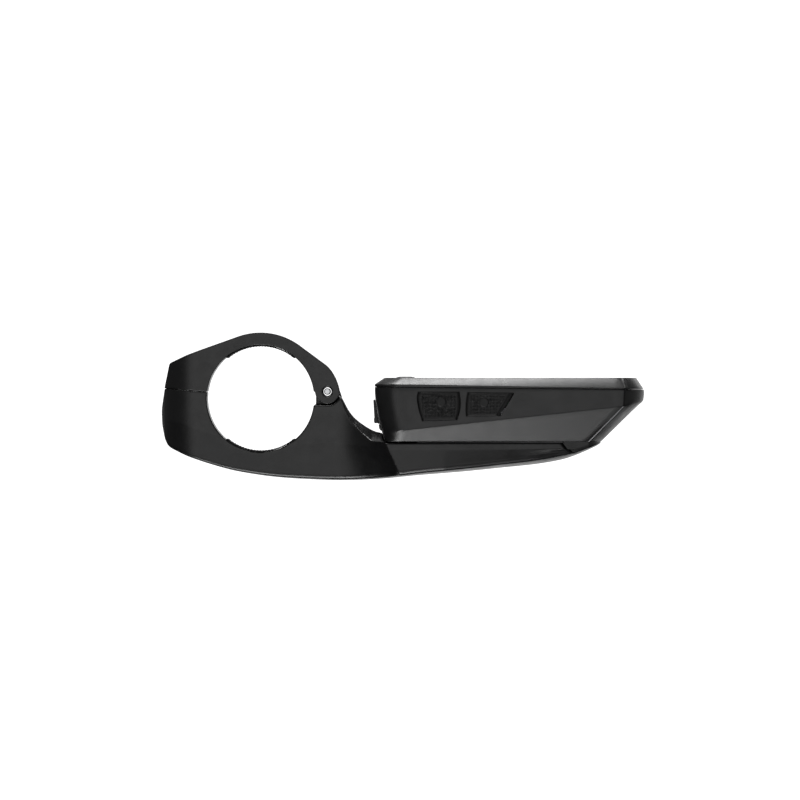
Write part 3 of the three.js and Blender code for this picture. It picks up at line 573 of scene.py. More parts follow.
def arm_foot_half(x):
    """Half of the arm's width at its belly, tucked in a little."""
    tuck = along([(-20, 1.1), (24, 1.1), (44, 0.9), (84, 0.9), (95, 1.3)], x)
    return arm_half(x) - min(tuck, arm_half(x) * 0.2)


def rake(x):
    """How far a section leans forwards for each mm below the deck, which slants the flare's ridge."""
    return along([(23, 0), (RIDGE_X - 2, RIDGE_RAKE), (RIDGE_X + 1, RIDGE_RAKE), (58, 0)], x)


def arm_top(x):
    """Height of the arm's top: its rounded tip, the split, the hinge's foot, the neck, the deck."""
    if x < SPLIT_X:
        return lerp(-4.2, SPLIT_Z, min(1.0, (x - CLAMP_TIP_X) / (-29.6 - CLAMP_TIP_X)))
    if x < PIN_X:
        return split_z(x)
    if x < NECK_TOP[0][0]:
        return 0.6
    return smooth_along(NECK_TOP, x) if x < NECK_END else DECK_Z


def arm_low(x):
    return along(ARM_END, x) if x < ARM_BOTTOM[0][0] else smooth_along(ARM_BOTTOM, x)


def arm_crease(x):
    """Height where the clamp's flat side breaks into its slightly tucked lower part."""
    return along([(-30, -6.0), (-26.3, -7.0), (-14, -11.0), (-4, -13.4), (26, -13.8), (38, -15.5)], x)


def arm_section(x, top):
    """One ring of the arm, from its top edge down one side, under the belly and up the other."""
    half = arm_half(x)
    lean = rake(x)
    on_neck = NECK_TOP[0][0] < x < NECK_END
    edge = min(top - 0.01, along(NECK_EDGE, x)) if on_neck else top - 0.01
    crest = along([(24.3, half - 0.5), (29, min(half * 0.6, 7))], x) if on_neck else half - 0.01
    low = arm_low(x + lean * 10)
    foot = max(arm_foot_half(x), half * 0.4)
    crown = along(CROWN, x)
    belly = low + crown
    fillet = min(along(BELLY_FILLET, x), foot * 0.8, (edge - belly) * 0.45)
    crease = min(edge - 0.02, max(arm_crease(x), belly + fillet + 0.02))
    curve = bezier((foot, belly + fillet), (foot - 0.1, belly), (foot - fillet, low + crown * 0.9), 6)
    keel = [(foot * t, low + crown * t * t) for t in (0.75, 0.5, 0.25)]
    keel = [k for k in keel if k[0] < foot - fillet - 0.05]
    while len(keel) < 3:
        keel.append((keel[-1][0] * 0.5 if keel else (foot - fillet) * 0.5, low + 0.01))
    side = [(crest, top), (half, edge), (half, crease)] + curve + keel
    ring = side + [(-y, z) for y, z in reversed(side)]
    return [(x + lean * max(0.0, DECK_Z - z), y, z) for y, z in ring]


def along_screw(piece):
    """Moves a piece made round Z onto the clamp screw's leaning axis."""
    return place(piece, (SCREW_X, 0, SCREW_Z), tilt_y=SCREW_TILT)


def screw_rod(name, radius, low, high):
    return along_screw(lathe(name, [(radius, low), (radius, high)], 64))


def chin_wall(gap):
    """The cone about the twist axis that parts the cradle's tip from the case's chin."""
    top, bottom = CASE_BOTTOM + 6, -26
    radius = CHIN_RADIUS - gap
    profile = [(radius, top), (radius, CASE_BOTTOM)]
    profile.append((radius + (CASE_BOTTOM - bottom) * CHIN_FLARE, bottom))
    return place(lathe("chin_wall", profile, 240), (TWIST_X, 0, 0))


def hinge_cup(side):
    """The room in the arm for one of the strap's two knuckles."""
    y0, y1 = spread_y(side, TONGUE_HALF, CLAMP_HALF + 1)
    cup = rod_y("cup", KNUCKLE_RADIUS + 0.45, PIN_X, PIN_Z, y0, y1)
    floor = PIN_Z - KNUCKLE_RADIUS - 0.35
    seat = prism_y("seat", [(14, floor), (PIN_X, floor), (PIN_X, 10), (14, 10)], y0, y1)
    return join(cup, seat)


def make_arm():
    """Clamp, neck and cradle in one skin, then the deck's step, the hinge and every hole."""
    stations = [CLAMP_TIP_X + 0.05, *np.arange(-30.2, 36.2, 0.8), 36.6, 37.05, 37.28, 37.7, 37.97]
    stations += [38.01, 38.3, *np.arange(39, 99.4, 0.9)]
    arm = skin("mount_arm", [arm_section(x, arm_top(x)) for x in stations])
    step = prism_z("step", [(37.3, -14), (47, -16), (47, 16), (37.3, 14)], -15, -13.28)
    join(arm, cut(step, rod_z("turning", PLATEAU_RADIUS + 0.15, TWIST_X, 0, -20, 0, 160)))
    front = chin_wall(0.4)
    rear = prism_z("rear", [(-40, -30), (TWIST_X, -30), (TWIST_X, 30), (-40, 30)], -40, 30)
    keep_inside(arm, join(front, rear))
    tongue = (-TONGUE_HALF, TONGUE_HALF)
    cut(arm, prism_y("above_tongue", [(14, -2), (24.2, -2), (24.2, 12), (14, 12)], *tongue))
    knuckle = rod_y("knuckle", KNUCKLE_RADIUS - 0.15, PIN_X, PIN_Z, *tongue)
    web = prism_y("web", [(16.9, -4), (23.9, -4), (23.9, PIN_Z), (16.9, PIN_Z)], *tongue)
    horn_profile = [(21, -2), (25, -2), (24.75, 0.75), (24.0, 2.9), (21, 2.9)]
    join(arm, knuckle, web, prism_y("horn", horn_profile, -HORN_HALF, HORN_HALF))
    cut(arm, rod_y("bore", BORE_RADIUS, 0, 0, -40, 40, 240), hinge_cup(1), hinge_cup(-1))
    cut(arm, rod_y("pin_hole", PIN_BORE, PIN_X, PIN_Z, -20, 20))
    cut(arm, screw_rod("screw_hole", SCREW_BORE, -12, 20), screw_rod("counterbore", 4.1, -30, -9.3))
    cut(arm, rod_z("socket_pocket", 16.5, TWIST_X, 0, -18.0, 0, 128))
    cut(arm, locating_rib(0.25))
    for x, y, low in screw_places("socket_screw", 4):
        cut(arm, rod_z("pilot", SELF_TAP, x, y, low - 0.2, 0, 24))
    soften(arm, 0.24, 7)
    return finish_piece(arm, "mount", ["mount_arm"], NYLON, 60)


# ---------- mount: strap, pads, pin and screw


def split_z(x):
    """Height of the arm's face where it meets the strap."""
    return SPLIT_Z - math.tan(SCREW_TILT) * (x - SPLIT_X)


def locating_rib(grow):
    """A low rib under the strap that drops into a groove in the arm, beside the clamp screw."""
    ends = (-28.9 - grow, -17.2 + grow)
    profile = [(x, split_z(x) - 0.55 - grow) for x in ends]
    profile += [(x, split_z(x) + 0.6) for x in reversed(ends)]
    return prism_y("locating_rib", profile, 2.9 - grow, 4.3 + grow)


def strap_profile():
    """The strap's outline in side view: bore, knuckle, shoulder, round back and flat tail."""
    lift = 0.05

    def split(x):
        return split_z(x) + lift

    bite = 180 - math.degrees(math.asin(split(-16.3) / BORE_RADIUS))
    inner = arc(0, 0, BORE_RADIUS, bite, math.degrees(math.asin(PIN_Z / BORE_RADIUS)), 80)
    knuckle = arc(PIN_X, PIN_Z, KNUCKLE_RADIUS, 180, 360, 32)
    shoulder = bezier((24.0, 3.1), (22.75, 7.9), (19.9, 10.3), 10)
    over = arc(0, 0, STRAP_RADIUS, 51, 109.7, 40)
    tail = [(-18.7, 14.7), (-22.4, 13.3), (-27.3, 11.0)]
    corner = bezier((-27.5, 10.9), (-27.95, 10.6), (-28.05, 9.9), 4)
    return inner + knuckle + shoulder + over + tail + corner + [(-29.5, split(-29.5))]


def make_strap():
    """The upper half of the clamp, slotted for the hinge and bored for the screw."""
    strap = prism_y("clamp_strap", strap_profile(), -CLAMP_HALF, CLAMP_HALF)
    reach = CLAMP_ROUND_X - CLAMP_TIP_X
    angles = np.radians(np.linspace(90, 270, 60))
    rounded = [(CLAMP_ROUND_X + reach * math.cos(a), CLAMP_HALF * math.sin(a)) for a in angles]
    keep_inside(strap, prism_z("plan", rounded + [(40, -CLAMP_HALF), (40, CLAMP_HALF)], -10, 30))
    slot = TONGUE_HALF + 0.4
    cut(strap, rod_y("slot", KNUCKLE_RADIUS + 0.35, PIN_X, PIN_Z, -slot, slot))
    cut(strap, rod_y("horn_way", KNUCKLE_RADIUS + 1.0, PIN_X, PIN_Z, -HORN_HALF - 0.4, HORN_HALF + 0.4))
    cut(strap, prism_y("slot_mouth", [(12, -10), (30, -10), (30, PIN_Z), (12, PIN_Z)], -slot, slot))
    cut(strap, rod_y("pin_hole", PIN_BORE, PIN_X, PIN_Z, -20, 20))
    for side in (-1, 1):
        recess = spread_y(side, CLAMP_HALF - 0.5, CLAMP_HALF + 1)
        cut(strap, rod_y("pin_recess", 1.6, PIN_X, PIN_Z, *recess))
    cut(strap, screw_rod("insert_bed", 3.8, 0.4, 7.3), screw_rod("collar_bed", 4.6, 3, 5))
    cut(strap, screw_rod("screw_way", SCREW_BORE, -6, 2))
    join(strap, locating_rib(0.0))
    soften(strap, 0.2, 6)
    return finish_piece(strap, "strap", ["clamp_strap"], NYLON, 60)


def make_pad(name, body, centre):
    """A grip pad with fine ribs across the bar and rounded ends."""
    half_sweep = math.radians(40)
    steps, rib_steps, rib_height = 150, 3, 0.09
    outer = []
    inner = []
    for k in range(steps + 1):
        a = math.radians(centre) - half_sweep + 2 * half_sweep * k / steps
        rib = rib_height * ((k // rib_steps) % 2) if 6 < k < steps - 6 else 0
        fade = min(1.0, k / 3, (steps - k) / 3)
        inner_radius = lerp(BORE_RADIUS - 0.3, BAR_RADIUS, fade) + rib
        outer.append(((BORE_RADIUS - 0.05) * math.cos(a), (BORE_RADIUS - 0.05) * math.sin(a)))
        inner.append((inner_radius * math.cos(a), inner_radius * math.sin(a)))
    pad = prism_y(name, outer + inner[::-1], -CLAMP_HALF + 0.4, CLAMP_HALF - 0.4)
    bevel(pad, 0.12, 2, 60)
    return finish_piece(pad, body, [name], RUBBER, 35)


def make_pin():
    end = CLAMP_HALF - 0.35
    half = [(1, end - 0.25), (0.75, end), (0.0, end)]
    pin = lathe("hinge_pin", [(radius, -height) for radius, height in reversed(half)] + half, 48)
    place(pin, (PIN_X, 0, PIN_Z), turn_x=math.pi / 2)
    return finish_piece(pin, "mount", ["hinge_pin"], BRIGHT_STEEL)


def make_screw():
    """An M4 socket head screw with its head down, each turn of its thread a separate ridge."""
    seat, head_height, head = -10.2, 3.8, 3.4
    root, crest, pitch = 1.65, 1.95, 0.7
    low = seat - head_height
    profile = [(0.0, low), (2.55, low), (3.1, low + 0.12), (head, low + 0.45), (head, seat - 0.15)]
    profile += [(head - 0.15, seat), (1.8, seat), (root, seat + 0.25)]
    height = seat + 1.2
    while height < 5.4:
        ridge = [(root, 0), (crest, 0.42), (crest, 0.52), (root, 0.94)]
        profile += [(radius, height + pitch * rise) for radius, rise in ridge]
        height += pitch
    profile += [(root, 6.0), (root - 0.3, 6.4), (0.0, 6.4)]
    screw = lathe("clamp_screw", profile, 72)
    knurl(screw, head, low + 0.5, seat - 0.2)
    corner = 3 / math.sqrt(3)
    hexagon = [(corner * math.cos(a), corner * math.sin(a)) for a in turns(6)]
    cut(screw, prism_z("hex_drive", hexagon, low - 1, low + 2.2))
    along_screw(screw)
    return finish_piece(screw, "screw", ["clamp_screw"], BLACK_STEEL, 28)


def knurl(piece, radius, low, high):
    """Straight flutes round a screw head, made by pulling in every second column of points."""
    for vertex in piece.data.vertices:
        x, y, z = (c / MM for c in vertex.co)
        if math.hypot(x, y) > radius - 0.05 and low - 0.2 < z < high + 0.2:
            turn = round(math.degrees(math.atan2(y, x)) / 5)
            shrink = 1 - 0.025 * (turn % 2)
            vertex.co = Vector((x * shrink, y * shrink, z)) * MM


def make_washer():
    low, high, bore, rim = -10.05, -9.35, 2.0, 3.6
    edge = 0.12
    profile = [(bore, low), (rim - edge, low), (rim, low + edge)]
    profile += [(rim, high - edge), (rim - edge, high), (bore, high)]
    washer = along_screw(tube_of("clamp_washer", profile, 72))
    return finish_piece(washer, "screw_washer", ["clamp_washer"], BRIGHT_STEEL)


# ---------- computer: outline of its shells

# The case's rear end, its nose and the corners beside the nose in side view, as (z, x) from the top down
REAR_LINE = [(3.6, 34.9), (0.1, 35.0), (-8.2, 36.5), (-11.2, 37.4), (-13.2, 37.9)]
NOSE_LINE = [
    (3.2, 117.2), (2.6, 117.35), (1.3, 117.4), (-0.5, 117.15), (-1.4, 116.6), (-2.0, 115.6), (-13.2, 104.2),
]
SHOULDER_BAND, SHOULDER_CHAMFER = 1.8, 0.28
SHOULDER_LINE = [(3.2, 110.9), (-2.4, 110.6), (-13.2, 100.1)]


def read_line(line, z):
    """x on a (z, x) line that runs downwards."""
    return float(np.interp(-z, [-p[0] for p in line], [p[1] for p in line]))


def outline(rear, front, shoulder_x, half_at, corner, blend, kink=0.0):
    """Plan outline from the middle of the rear, round one side to the middle of the nose, and back.

    blend is how far the shoulder's chamfer reaches each way, and kink how sharply, in degrees, the
    rear corner meets the side.
    """
    n_rear, n_corner, n_side, n_nose = 6, 12, 64, 18
    wide = half_at(rear + corner)
    points = [(rear, (wide - corner) * k / n_rear) for k in range(n_rear)]
    if kink:
        control = (rear, wide - corner * math.tan(math.radians(kink)))
        points += bezier((rear, wide - corner), control, (rear + corner, wide), n_corner)[:-1]
    else:
        points += arc(rear + corner, wide - corner, corner, 180, 90, n_corner)[:-1]
    start, end = rear + corner, shoulder_x - SHOULDER_BAND
    points += [(x, half_at(x)) for x in np.linspace(start, end, n_side)]
    tip = half_at(shoulder_x) - 0.16
    sag = front - shoulder_x
    arch = (tip * tip + sag * sag) / (2 * sag)

    def nose(y):
        return front - arch + math.sqrt(arch * arch - y * y)

    landing = tip - blend
    points += [(shoulder_x - blend, tip + 0.02)]
    points += [(nose(y), y) for y in np.linspace(landing, 0, n_nose + 1)]
    return points + [(x, -y) for x, y in reversed(points[1:-1])]


def settle(line, z_at, x):
    """The x at which a line of the side view meets a sloping row."""
    for _ in range(12):
        x = read_line(line, z_at(x))
    return x


def case_row(z_at, depth_at, inset=0.0):
    """One row of the lower case: z_at(x) is its height, depth_at(x) how far it is below the facet line."""
    rear = settle(REAR_LINE, z_at, 36) + inset
    front = settle(NOSE_LINE, z_at, 112) - inset * 1.2
    shoulder = settle(SHOULDER_LINE, z_at, 108) - inset * 1.2

    def half_at(x):
        return side_at(x) - inset - FACET_TILT * depth_at(x)

    corner = lerp(7.0, 4.8, min(1.0, depth_at(40) / 3.0)) - inset * 0.5
    points = outline(rear, front, shoulder, half_at, corner, SHOULDER_CHAMFER)
    return [(x, y, z_at(x)) for x, y in points]


def case_rows(inset, top, floor, extra_top=0.0):
    """The lower case's rows from its top edge down to its floor, all moved inwards by inset."""
    rows = []
    if extra_top:
        rows.append(case_row(lambda x: top(x) + extra_top, lambda x: 0.0, inset))
    for v in np.linspace(0, 1, 8):
        rows.append(case_row(lambda x, v=v: lerp(top(x), facet_z(x), v), lambda x: 0.0, inset))
    for w in np.linspace(0.2, 1, 5):

        def height(x, w=w):
            return lerp(facet_z(x), floor, w)

        def depth(x, w=w):
            return max(0.0, (facet_z(x) - floor) * w)

        rows.append(case_row(height, depth, inset))
    return rows


def swept_keep(inset):
    """Where the twisting computer may be solid. Only its rear left corner passes over the neck."""
    profile = [
        (0.1, -20), (31.9, -20), (31.9, -10.35), (34, -10.1), (35, -9.7), (37.2, -8.5), (39.7, -6.9),
        (60, -6.8), (60, 20), (0.1, 20),
    ]
    profile = [(max(r - inset, 0.1), h + (inset if -12 < h < 0 else 0)) for r, h in profile]
    keep = place(lathe("swept_keep", profile, 240), (TWIST_X, 0, 0))
    notch_x = TWIST_X - 18
    plan = [(0, -40), (140, -40), (140, 40), (notch_x, 40), (notch_x, 0), (0, 0)]
    ahead = prism_z("ahead", plan, -19, 19)
    return join(keep, ahead)


# ---------- computer: lower case

# The side keys' two upright edges in (x, z), from the top down
REAR_KEY = {
    "left": [(48.6, 1.95), (48.2, 0.3), (48.7, -3.2), (49.8, -6.9)],
    "right": [(60.15, 1.95), (60.5, -0.9), (60.3, -3.8), (59.5, -6.5)],
}
FRONT_KEY = {
    "left": [(63.6, 1.75), (63.2, 0.0), (63.0, -3.0), (63.1, -5.4)],
    "right": [(76.1, 1.65), (74.7, -0.8), (73.2, -3.2), (71.9, -5.3)],
}
GROOVE = 0.55  # width of the groove beside a key
FRONT_GROOVE_RIGHT = 1.25


def edge_at(stops, t):
    """A point a share t of the way down a curved key edge."""
    count = len(stops) - 1
    spot = t * count
    knots_x = [(i, p[0]) for i, p in enumerate(stops)]
    knots_z = [(i, p[1]) for i, p in enumerate(stops)]
    return smooth_along(knots_x, spot), smooth_along(knots_z, spot)


def key_hole(key, left_gap, right_gap, gap=0.1):
    """A key's outline grown to the left, to the right, and above and below."""
    down = [edge_at(key["left"], t) for t in np.linspace(0, 1, 13)]
    up = [edge_at(key["right"], t) for t in np.linspace(1, 0, 13)]
    left = [(x - left_gap, z) for x, z in down]
    right = [(x + right_gap, z) for x, z in up]
    left[0] = (left[0][0], left[0][1] + gap)
    right[-1] = (right[-1][0], right[-1][1] + gap)
    left[-1] = (left[-1][0], left[-1][1] - gap)
    right[0] = (right[0][0], right[0][1] - gap)
    return left + right


def power_outline(grow):
    return rounded_rectangle(57 - grow, 69 + grow, -3.2 - grow, 0.6 + grow, 1.85 + grow)


def screw_places(prefix, count):
    """The axis and the lowest point of each upright screw."""
    for i in range(1, count + 1):
        low, high = corners(f"{prefix}_{i}")
        yield (low[0] + high[0]) / 2, (low[1] + high[1]) / 2, low[2]


CHIN_TIP_X = 104.15
CHIN_OVERLAP = 0.4  # how far the chin and the posts reach into the shell they are joined to


def chin_section(x):
    """The chin carries on the cradle's keel in front of the twisting wall, thinning out under the nose."""
    root = min(x, 100.5)
    top = CASE_BOTTOM + CHIN_OVERLAP
    thinning = (top - arm_low(x)) / (top - arm_low(root))
    reach = max(CHIN_TIP_X - x, 0.02)
    arch = 31.0
    limit = math.sqrt(max(arch**2 - (arch - reach) ** 2, 0.01))
    ring = arm_section(root, top)
    widest = max(p[1] for p in ring)
    squeeze = min(widest - 0.35, limit) / widest
    return [(x, y * squeeze, top + (z - top) * thinning) for _, y, z in ring]


def make_lower_case():
    """The case with its chin, plateau and port rims, hollowed, then its holes, posts and tunnels."""
    shell = skin("lower_case", case_rows(0.0, parting_z, CASE_BOTTOM))
    bevel(shell, 0.3, 3, 31)
    chin = skin("chin", [chin_section(x) for x in np.arange(86, 104.1, 0.4)])
    cut(chin, chin_wall(0.0))
    join(shell, chin)
    keep_inside(shell, swept_keep(0.0))
    plateau = rod_z("plateau", PLATEAU_RADIUS, TWIST_X, 0, -13.5, CASE_BOTTOM + 0.5, 160)
    strip = prism_z("strip", rounded_rectangle(30, 110, -16.8, 16.8, 1), -14, -12)
    join(shell, keep_inside(plateau, strip))
    rim_profile = [(34.8, -0.7), (35.95, -7.8), (37.2, -7.8), (36.0, -0.7)]
    for side in (-1, 1):
        rim = prism_y("port_rim", rim_profile, *spread_y(side, 6.9, 8.0))
        join(shell, bevel(rim, 0.12, 2, 30))
    ledge_profile = [(36.05, -7.95), (38, -7.9), (38.5, -9.9), (36.75, -9.9), (36.25, -9.3)]
    join(shell, bevel(prism_y("ledge", ledge_profile, -6.4, 6.4), 0.12, 2, 30))
    hollow = skin("hollow", case_rows(CASE_WALL, parting_z, CASE_FLOOR, extra_top=2.0))
    keep_inside(hollow, swept_keep(CASE_WALL))
    cut(shell, hollow)
    cut(shell, prism_y("rear_key_hole", key_hole(REAR_KEY, GROOVE, GROOVE), -30, -20))
    cut(shell, prism_y("front_key_hole", key_hole(FRONT_KEY, GROOVE, FRONT_GROOVE_RIGHT), -30, -20))
    cut(shell, prism_y("power_hole", power_outline(0.0), 20, 30))
    port = rounded_rectangle(-4.9, 4.9, -5.4, -1.8, 1.6)
    cut(shell, skin("port_opening", [[(x, y, z) for y, z in port] for x in (33, 41)]))
    for x, y, _ in screw_places("case_screw", 4):
        post = rod_z("post", 3.0, x, y, CASE_BOTTOM + CHIN_OVERLAP, 2.4, 40)
        join(shell, keep_inside(post, skin("form", case_rows(0.3, parting_z, CASE_BOTTOM))))
    for x, y, _ in screw_places("case_screw", 4):
        mouth = CASE_FLOOR + 0.3 if x > TWIST_X else -30  # the front two would break through the nose
        head_seat = -3.6
        profile = [(2.0, mouth), (2.0, head_seat), (SELF_TAP, head_seat), (SELF_TAP, 10)]
        cut(shell, place(lathe("tunnel", profile, 36), (x, y, 0)))
    for x, _, _ in screw_places("foot_screw", 2):
        join(shell, rod_z("foot_post", 2.2, x, 0, CASE_FLOOR - 0.9, -8.6, 24))
        cut(shell, rod_z("foot_way", SELF_TAP, x, 0, -20, -9.2, 24))
    cut(shell, rod_z("foot_bed", 15.3, TWIST_X, 0, -20, -12.0, 128))
    finish_piece(shell, "computer", ["lower_case"], CASE_PLASTIC, 20)
    # paints the highlight on the shoulder chamfers with the light grey material
    paint_shoulder_highlights(shell)
    return shell


def paint_shoulder_highlights(shell):
    """Paints a highlight on the narrow chamfers where the side facets meet the nose: a light grey material
    stands in for the light they would catch.
    """
    largest_face = 1.2e-5  # in square metres, which leaves out the wide faces beside them
    shell.data.materials.append(PAINTED_HIGHLIGHT)
    for polygon in shell.data.polygons:
        x, y, z = (c / MM for c in polygon.center)
        on_facet = CASE_BOTTOM < z < facet_z(x) - 0.1 and abs(y) > 10
        at_shoulder = abs(x - read_line(SHOULDER_LINE, z)) < SHOULDER_CHAMFER
        if on_facet and at_shoulder and polygon.area < largest_face:
            polygon.material_index = 1


# ---------- computer: bezel, window and keys

# The y that each front key spans
FRONT_KEYS = {
    "front_button_right": (-14.6, -7.0),
    "front_button_centre": (-5.2, 5.2),
    "front_button_left": (7.0, 14.6),
}
KEY_X, KEY_LENGTH = 44.3, 6.4


def bezel_row(z_at, rear, front, shoulder, inset, corner, kink=0.0):
    points = outline(rear, front, shoulder, lambda x: side_at(x) - inset, corner, SHOULDER_CHAMFER, kink)
    return [(x, y, z_at(x)) for x, y in points]


def window_row(grow, z):
    points = outline(50.5 - grow, 112.2 + grow, 107.3 + grow, lambda x: side_at(x, 20) + grow, 3 + grow, 1.2)
    return [(x, y, z) for x, y in points]


def key_outline(span, grow):
    half = KEY_LENGTH / 2 + grow
    y0, y1 = span
    return rounded_rectangle(KEY_X - half, KEY_X + half, y0 - grow, y1 + grow, 1.6 + grow)


def make_bezel():
    """The upper shell: an upright lip, a sloping brow and a flat top with its window and key holes."""

    def seam(x):
        return parting_z(x) + 0.14

    def brow(x):
        return along([(35, 4.35), (47.5, 4.26), (80, 3.7), (111, 3.2), (118, 3.1)], x)

    rows = [
        bezel_row(seam, CASE_REAR, 117.2, 110.9, 0.0, 6.9),
        bezel_row(lambda x: brow(x) - 0.05, CASE_REAR, 117.1, 110.85, 0.0, 6.9, 12),
        bezel_row(lambda x: BEZEL_TOP, CASE_REAR + 3, 114.95, 110.0, BEZEL_INSET, 5.3, 34),
    ]
    frame_piece = skin("upper_bezel", rows)
    bevel(frame_piece, 0.2, 3, 31)
    inner_rows = [
        bezel_row(lambda x: 0.0, CASE_REAR + 2.2, 114.7, 108.4, 2.2, 6),
        bezel_row(lambda x: 4.0, CASE_REAR + 2.8, 114.2, 108.0, 2.8, 6),
    ]
    cut(frame_piece, skin("bezel_hollow", inner_rows))
    cut(frame_piece, skin("window_bed", [window_row(0.12, 4.9), window_row(0.12, 6.0), window_row(0.3, 6.4)]))
    cut(frame_piece, prism_z("sight", rounded_rectangle(53.5, 97.2, -16.3, 16.3, 1.5), 0, 10))
    for span in FRONT_KEYS.values():
        hole = [[(x, y, z) for x, y in key_outline(span, g)] for g, z in ((0.3, 0), (0.3, 6.05), (0.6, 6.4))]
        cut(frame_piece, skin("key_hole", hole))
    for x, y, _ in screw_places("case_screw", 4):
        join(frame_piece, rod_z("post", 1.8, x, y, 2.6, 4.3, 32))
        cut(frame_piece, rod_z("pilot", SELF_TAP, x, y, 0, 4.6, 24))
    return finish_piece(frame_piece, "computer", ["upper_bezel"], BEZEL_PLASTIC, 20)


def make_window():
    window = skin("display_window", [window_row(0.0, 4.95), window_row(0.0, 6.02), window_row(-0.12, 6.17)])
    finish_piece(window, "computer", ["display_window"], GLASS_BORDER, 25)
    split_window(window, 55.0, 95.5, -15.2, 15.2)
    return window


def split_window(window, x0, x1, y0, y1):
    """Gives the part of the glass over the display its own clear material."""
    mesh = window.data
    bm = bmesh.new()
    bm.from_mesh(mesh)
    for axis, value in ((0, x0), (0, x1), (1, y0), (1, y1)):
        point = Vector((0, 0, 0))
        point[axis] = value * MM
        normal = Vector((0, 0, 0))
        normal[axis] = 1
        geometry = bm.verts[:] + bm.edges[:] + bm.faces[:]
        bmesh.ops.bisect_plane(bm, geom=geometry, plane_co=point, plane_no=normal)
    for face in bm.faces:
        middle = face.calc_center_median() / MM
        if x0 < middle.x < x1 and y0 < middle.y < y1:
            face.material_index = 1
    bm.to_mesh(mesh)
    bm.free()
    mesh.materials.append(GLASS_CLEAR)


def make_front_key(name):
    """A domed key with a brim that holds it under the bezel, and a stem over its switch."""
    span = FRONT_KEYS[name]
    rows = [(0.8, 3.3), (0.8, 4.1), (0.0, 4.1), (0.0, 5.9)]
    rows += [(-0.12, 6.2), (-0.45, 6.4), (-0.95, 6.55), (-1.55, 6.64)]
    key = skin(name, [[(x, y, z) for x, y in key_outline(span, g)] for g, z in rows])
    join(key, rod_z("stem", 1.2, KEY_X, sum(span) / 2, 1.5, 3.4, 32))
    return finish_piece(key, name + "_key", [name], KEY_RUBBER, 50)


def make_side_key(name, key, dot):
    """A key whose outer face carries a fine diagonal knurl and one round pip."""
    across, down = 110, 84
    turn = math.pi * 1.414 / 0.62
    ground, knurl_height, pip_height, pip_radius = 0.06, 0.11, 0.14, 1.45
    back_y = -21.0
    front = []
    for i in range(down + 1):
        t = i / down
        left, right = edge_at(key["left"], t), edge_at(key["right"], t)
        row = []
        for j in range(across + 1):
            s = j / across
            x, z = lerp(left[0], right[0], s), lerp(left[1], right[1], s)
            margin = min(s * 12, (1 - s) * 12, t * 9, (1 - t) * 8)
            fade = min(1.0, max(0.0, margin - 0.45) * 1.6)
            waves = math.sin((x + z) * turn) * math.sin((x - z) * turn)
            out = ground + knurl_height * fade * waves
            reach = math.hypot(x - dot[0], z - dot[1])
            if reach < pip_radius:
                out = ground + pip_height * min(1.0, (pip_radius - reach) * 4)
            out -= 0.16 * max(0.0, 1 - margin * 2.2)
            row.append((x, -side_at(x) - out, z))
        front.append(row)
    verts = [p for row in front for p in row]
    wide = across + 1
    rim = [*range(wide)] + [i * wide + across for i in range(1, down + 1)]
    rim += [down * wide + j for j in range(across - 1, -1, -1)] + [i * wide for i in range(down - 1, 0, -1)]
    faces = []
    for i in range(down):
        for j in range(across):
            a = i * wide + j
            faces.append((a, a + 1, a + wide + 1, a + wide))
    start = len(verts)
    verts += [(verts[k][0], back_y, verts[k][2]) for k in rim]
    count = len(rim)
    faces += [(rim[k], rim[(k + 1) % count], start + (k + 1) % count, start + k) for k in range(count)]
    faces.append(tuple(range(start, start + count)))
    piece = mesh_object(name, verts, faces)
    centre = sum(p[0] for p in key["left"] + key["right"]) / 8
    brim = prism_y("brim", key_hole(key, 0.9, 0.9, 0.8), -21.25, -20.6)
    join(piece, brim, rod_y("stem", 0.9, centre, -3.1, -20.7, -19.1, 32))
    return finish_piece(piece, name + "_key", [name], KEY_RUBBER, 40)


def make_power_key():
    """The smooth key on the far side."""
    rows = [(-0.35, 21.1), (-0.35, 23.45), (-0.5, 23.75), (-0.85, 23.95), (-1.3, 24.05)]
    key = skin("power_button", [[(x, y, z) for x, z in power_outline(g)] for g, y in rows])
    join(key, prism_y("brim", power_outline(0.5), 20.6, 21.2), rod_y("stem", 0.9, 63, -2.8, 19.1, 20.7, 32))
    return finish_piece(key, "power_button_key", ["power_button"], KEY_RUBBER, 50)


def make_port_cover():
    """A rubber flap with a pull lip along its lower edge and a plug that fills the port."""
    profile = [(34.95, -0.3), (34.55, -0.35), (34.45, -0.7), (34.75, -5.9), (34.62, -6.3), (34.66, -7.2)]
    profile += [(34.85, -7.6), (36.1, -7.6), (36.15, -7.2), (35.25, -1.9)]
    flap = prism_y("port_cover", profile, -6.6, 6.6)
    bevel(flap, 0.18, 3, 50)
    plug = rounded_rectangle(-4.3, 4.3, -4.5, -2.4, 1.0)
    join(flap, skin("plug", [[(x, y, z) for y, z in plug] for x in (35.0, 37.0)]))
    return finish_piece(flap, "cover_flap", ["port_cover"], COVER_RUBBER, 40)


# ---------- CAD nodes that keep their shape

KEPT = {
    "threaded_insert": BRASS, "twist_socket": NYLON, "twist_foot": NYLON, "display_panel": LCD,
    "display_gasket": FOAM, "case_seal": RUBBER, "main_board": BOARD, "battery": CELL_FOIL,
    "radio_shield": BRIGHT_STEEL, "gps_antenna": CERAMIC, "display_flex": POLYIMIDE,
    "charging_port": BRIGHT_STEEL,
}
BLACK_NODES = [
    "buzzer", "front_switch_left", "front_switch_centre", "front_switch_right", "side_switch_rear",
    "side_switch_front", "power_switch", "foot_screw_1", "foot_screw_2",
]
BLACK_NODES += [f"{kind}_screw_{number}" for kind in ("socket", "case") for number in range(1, 5)]


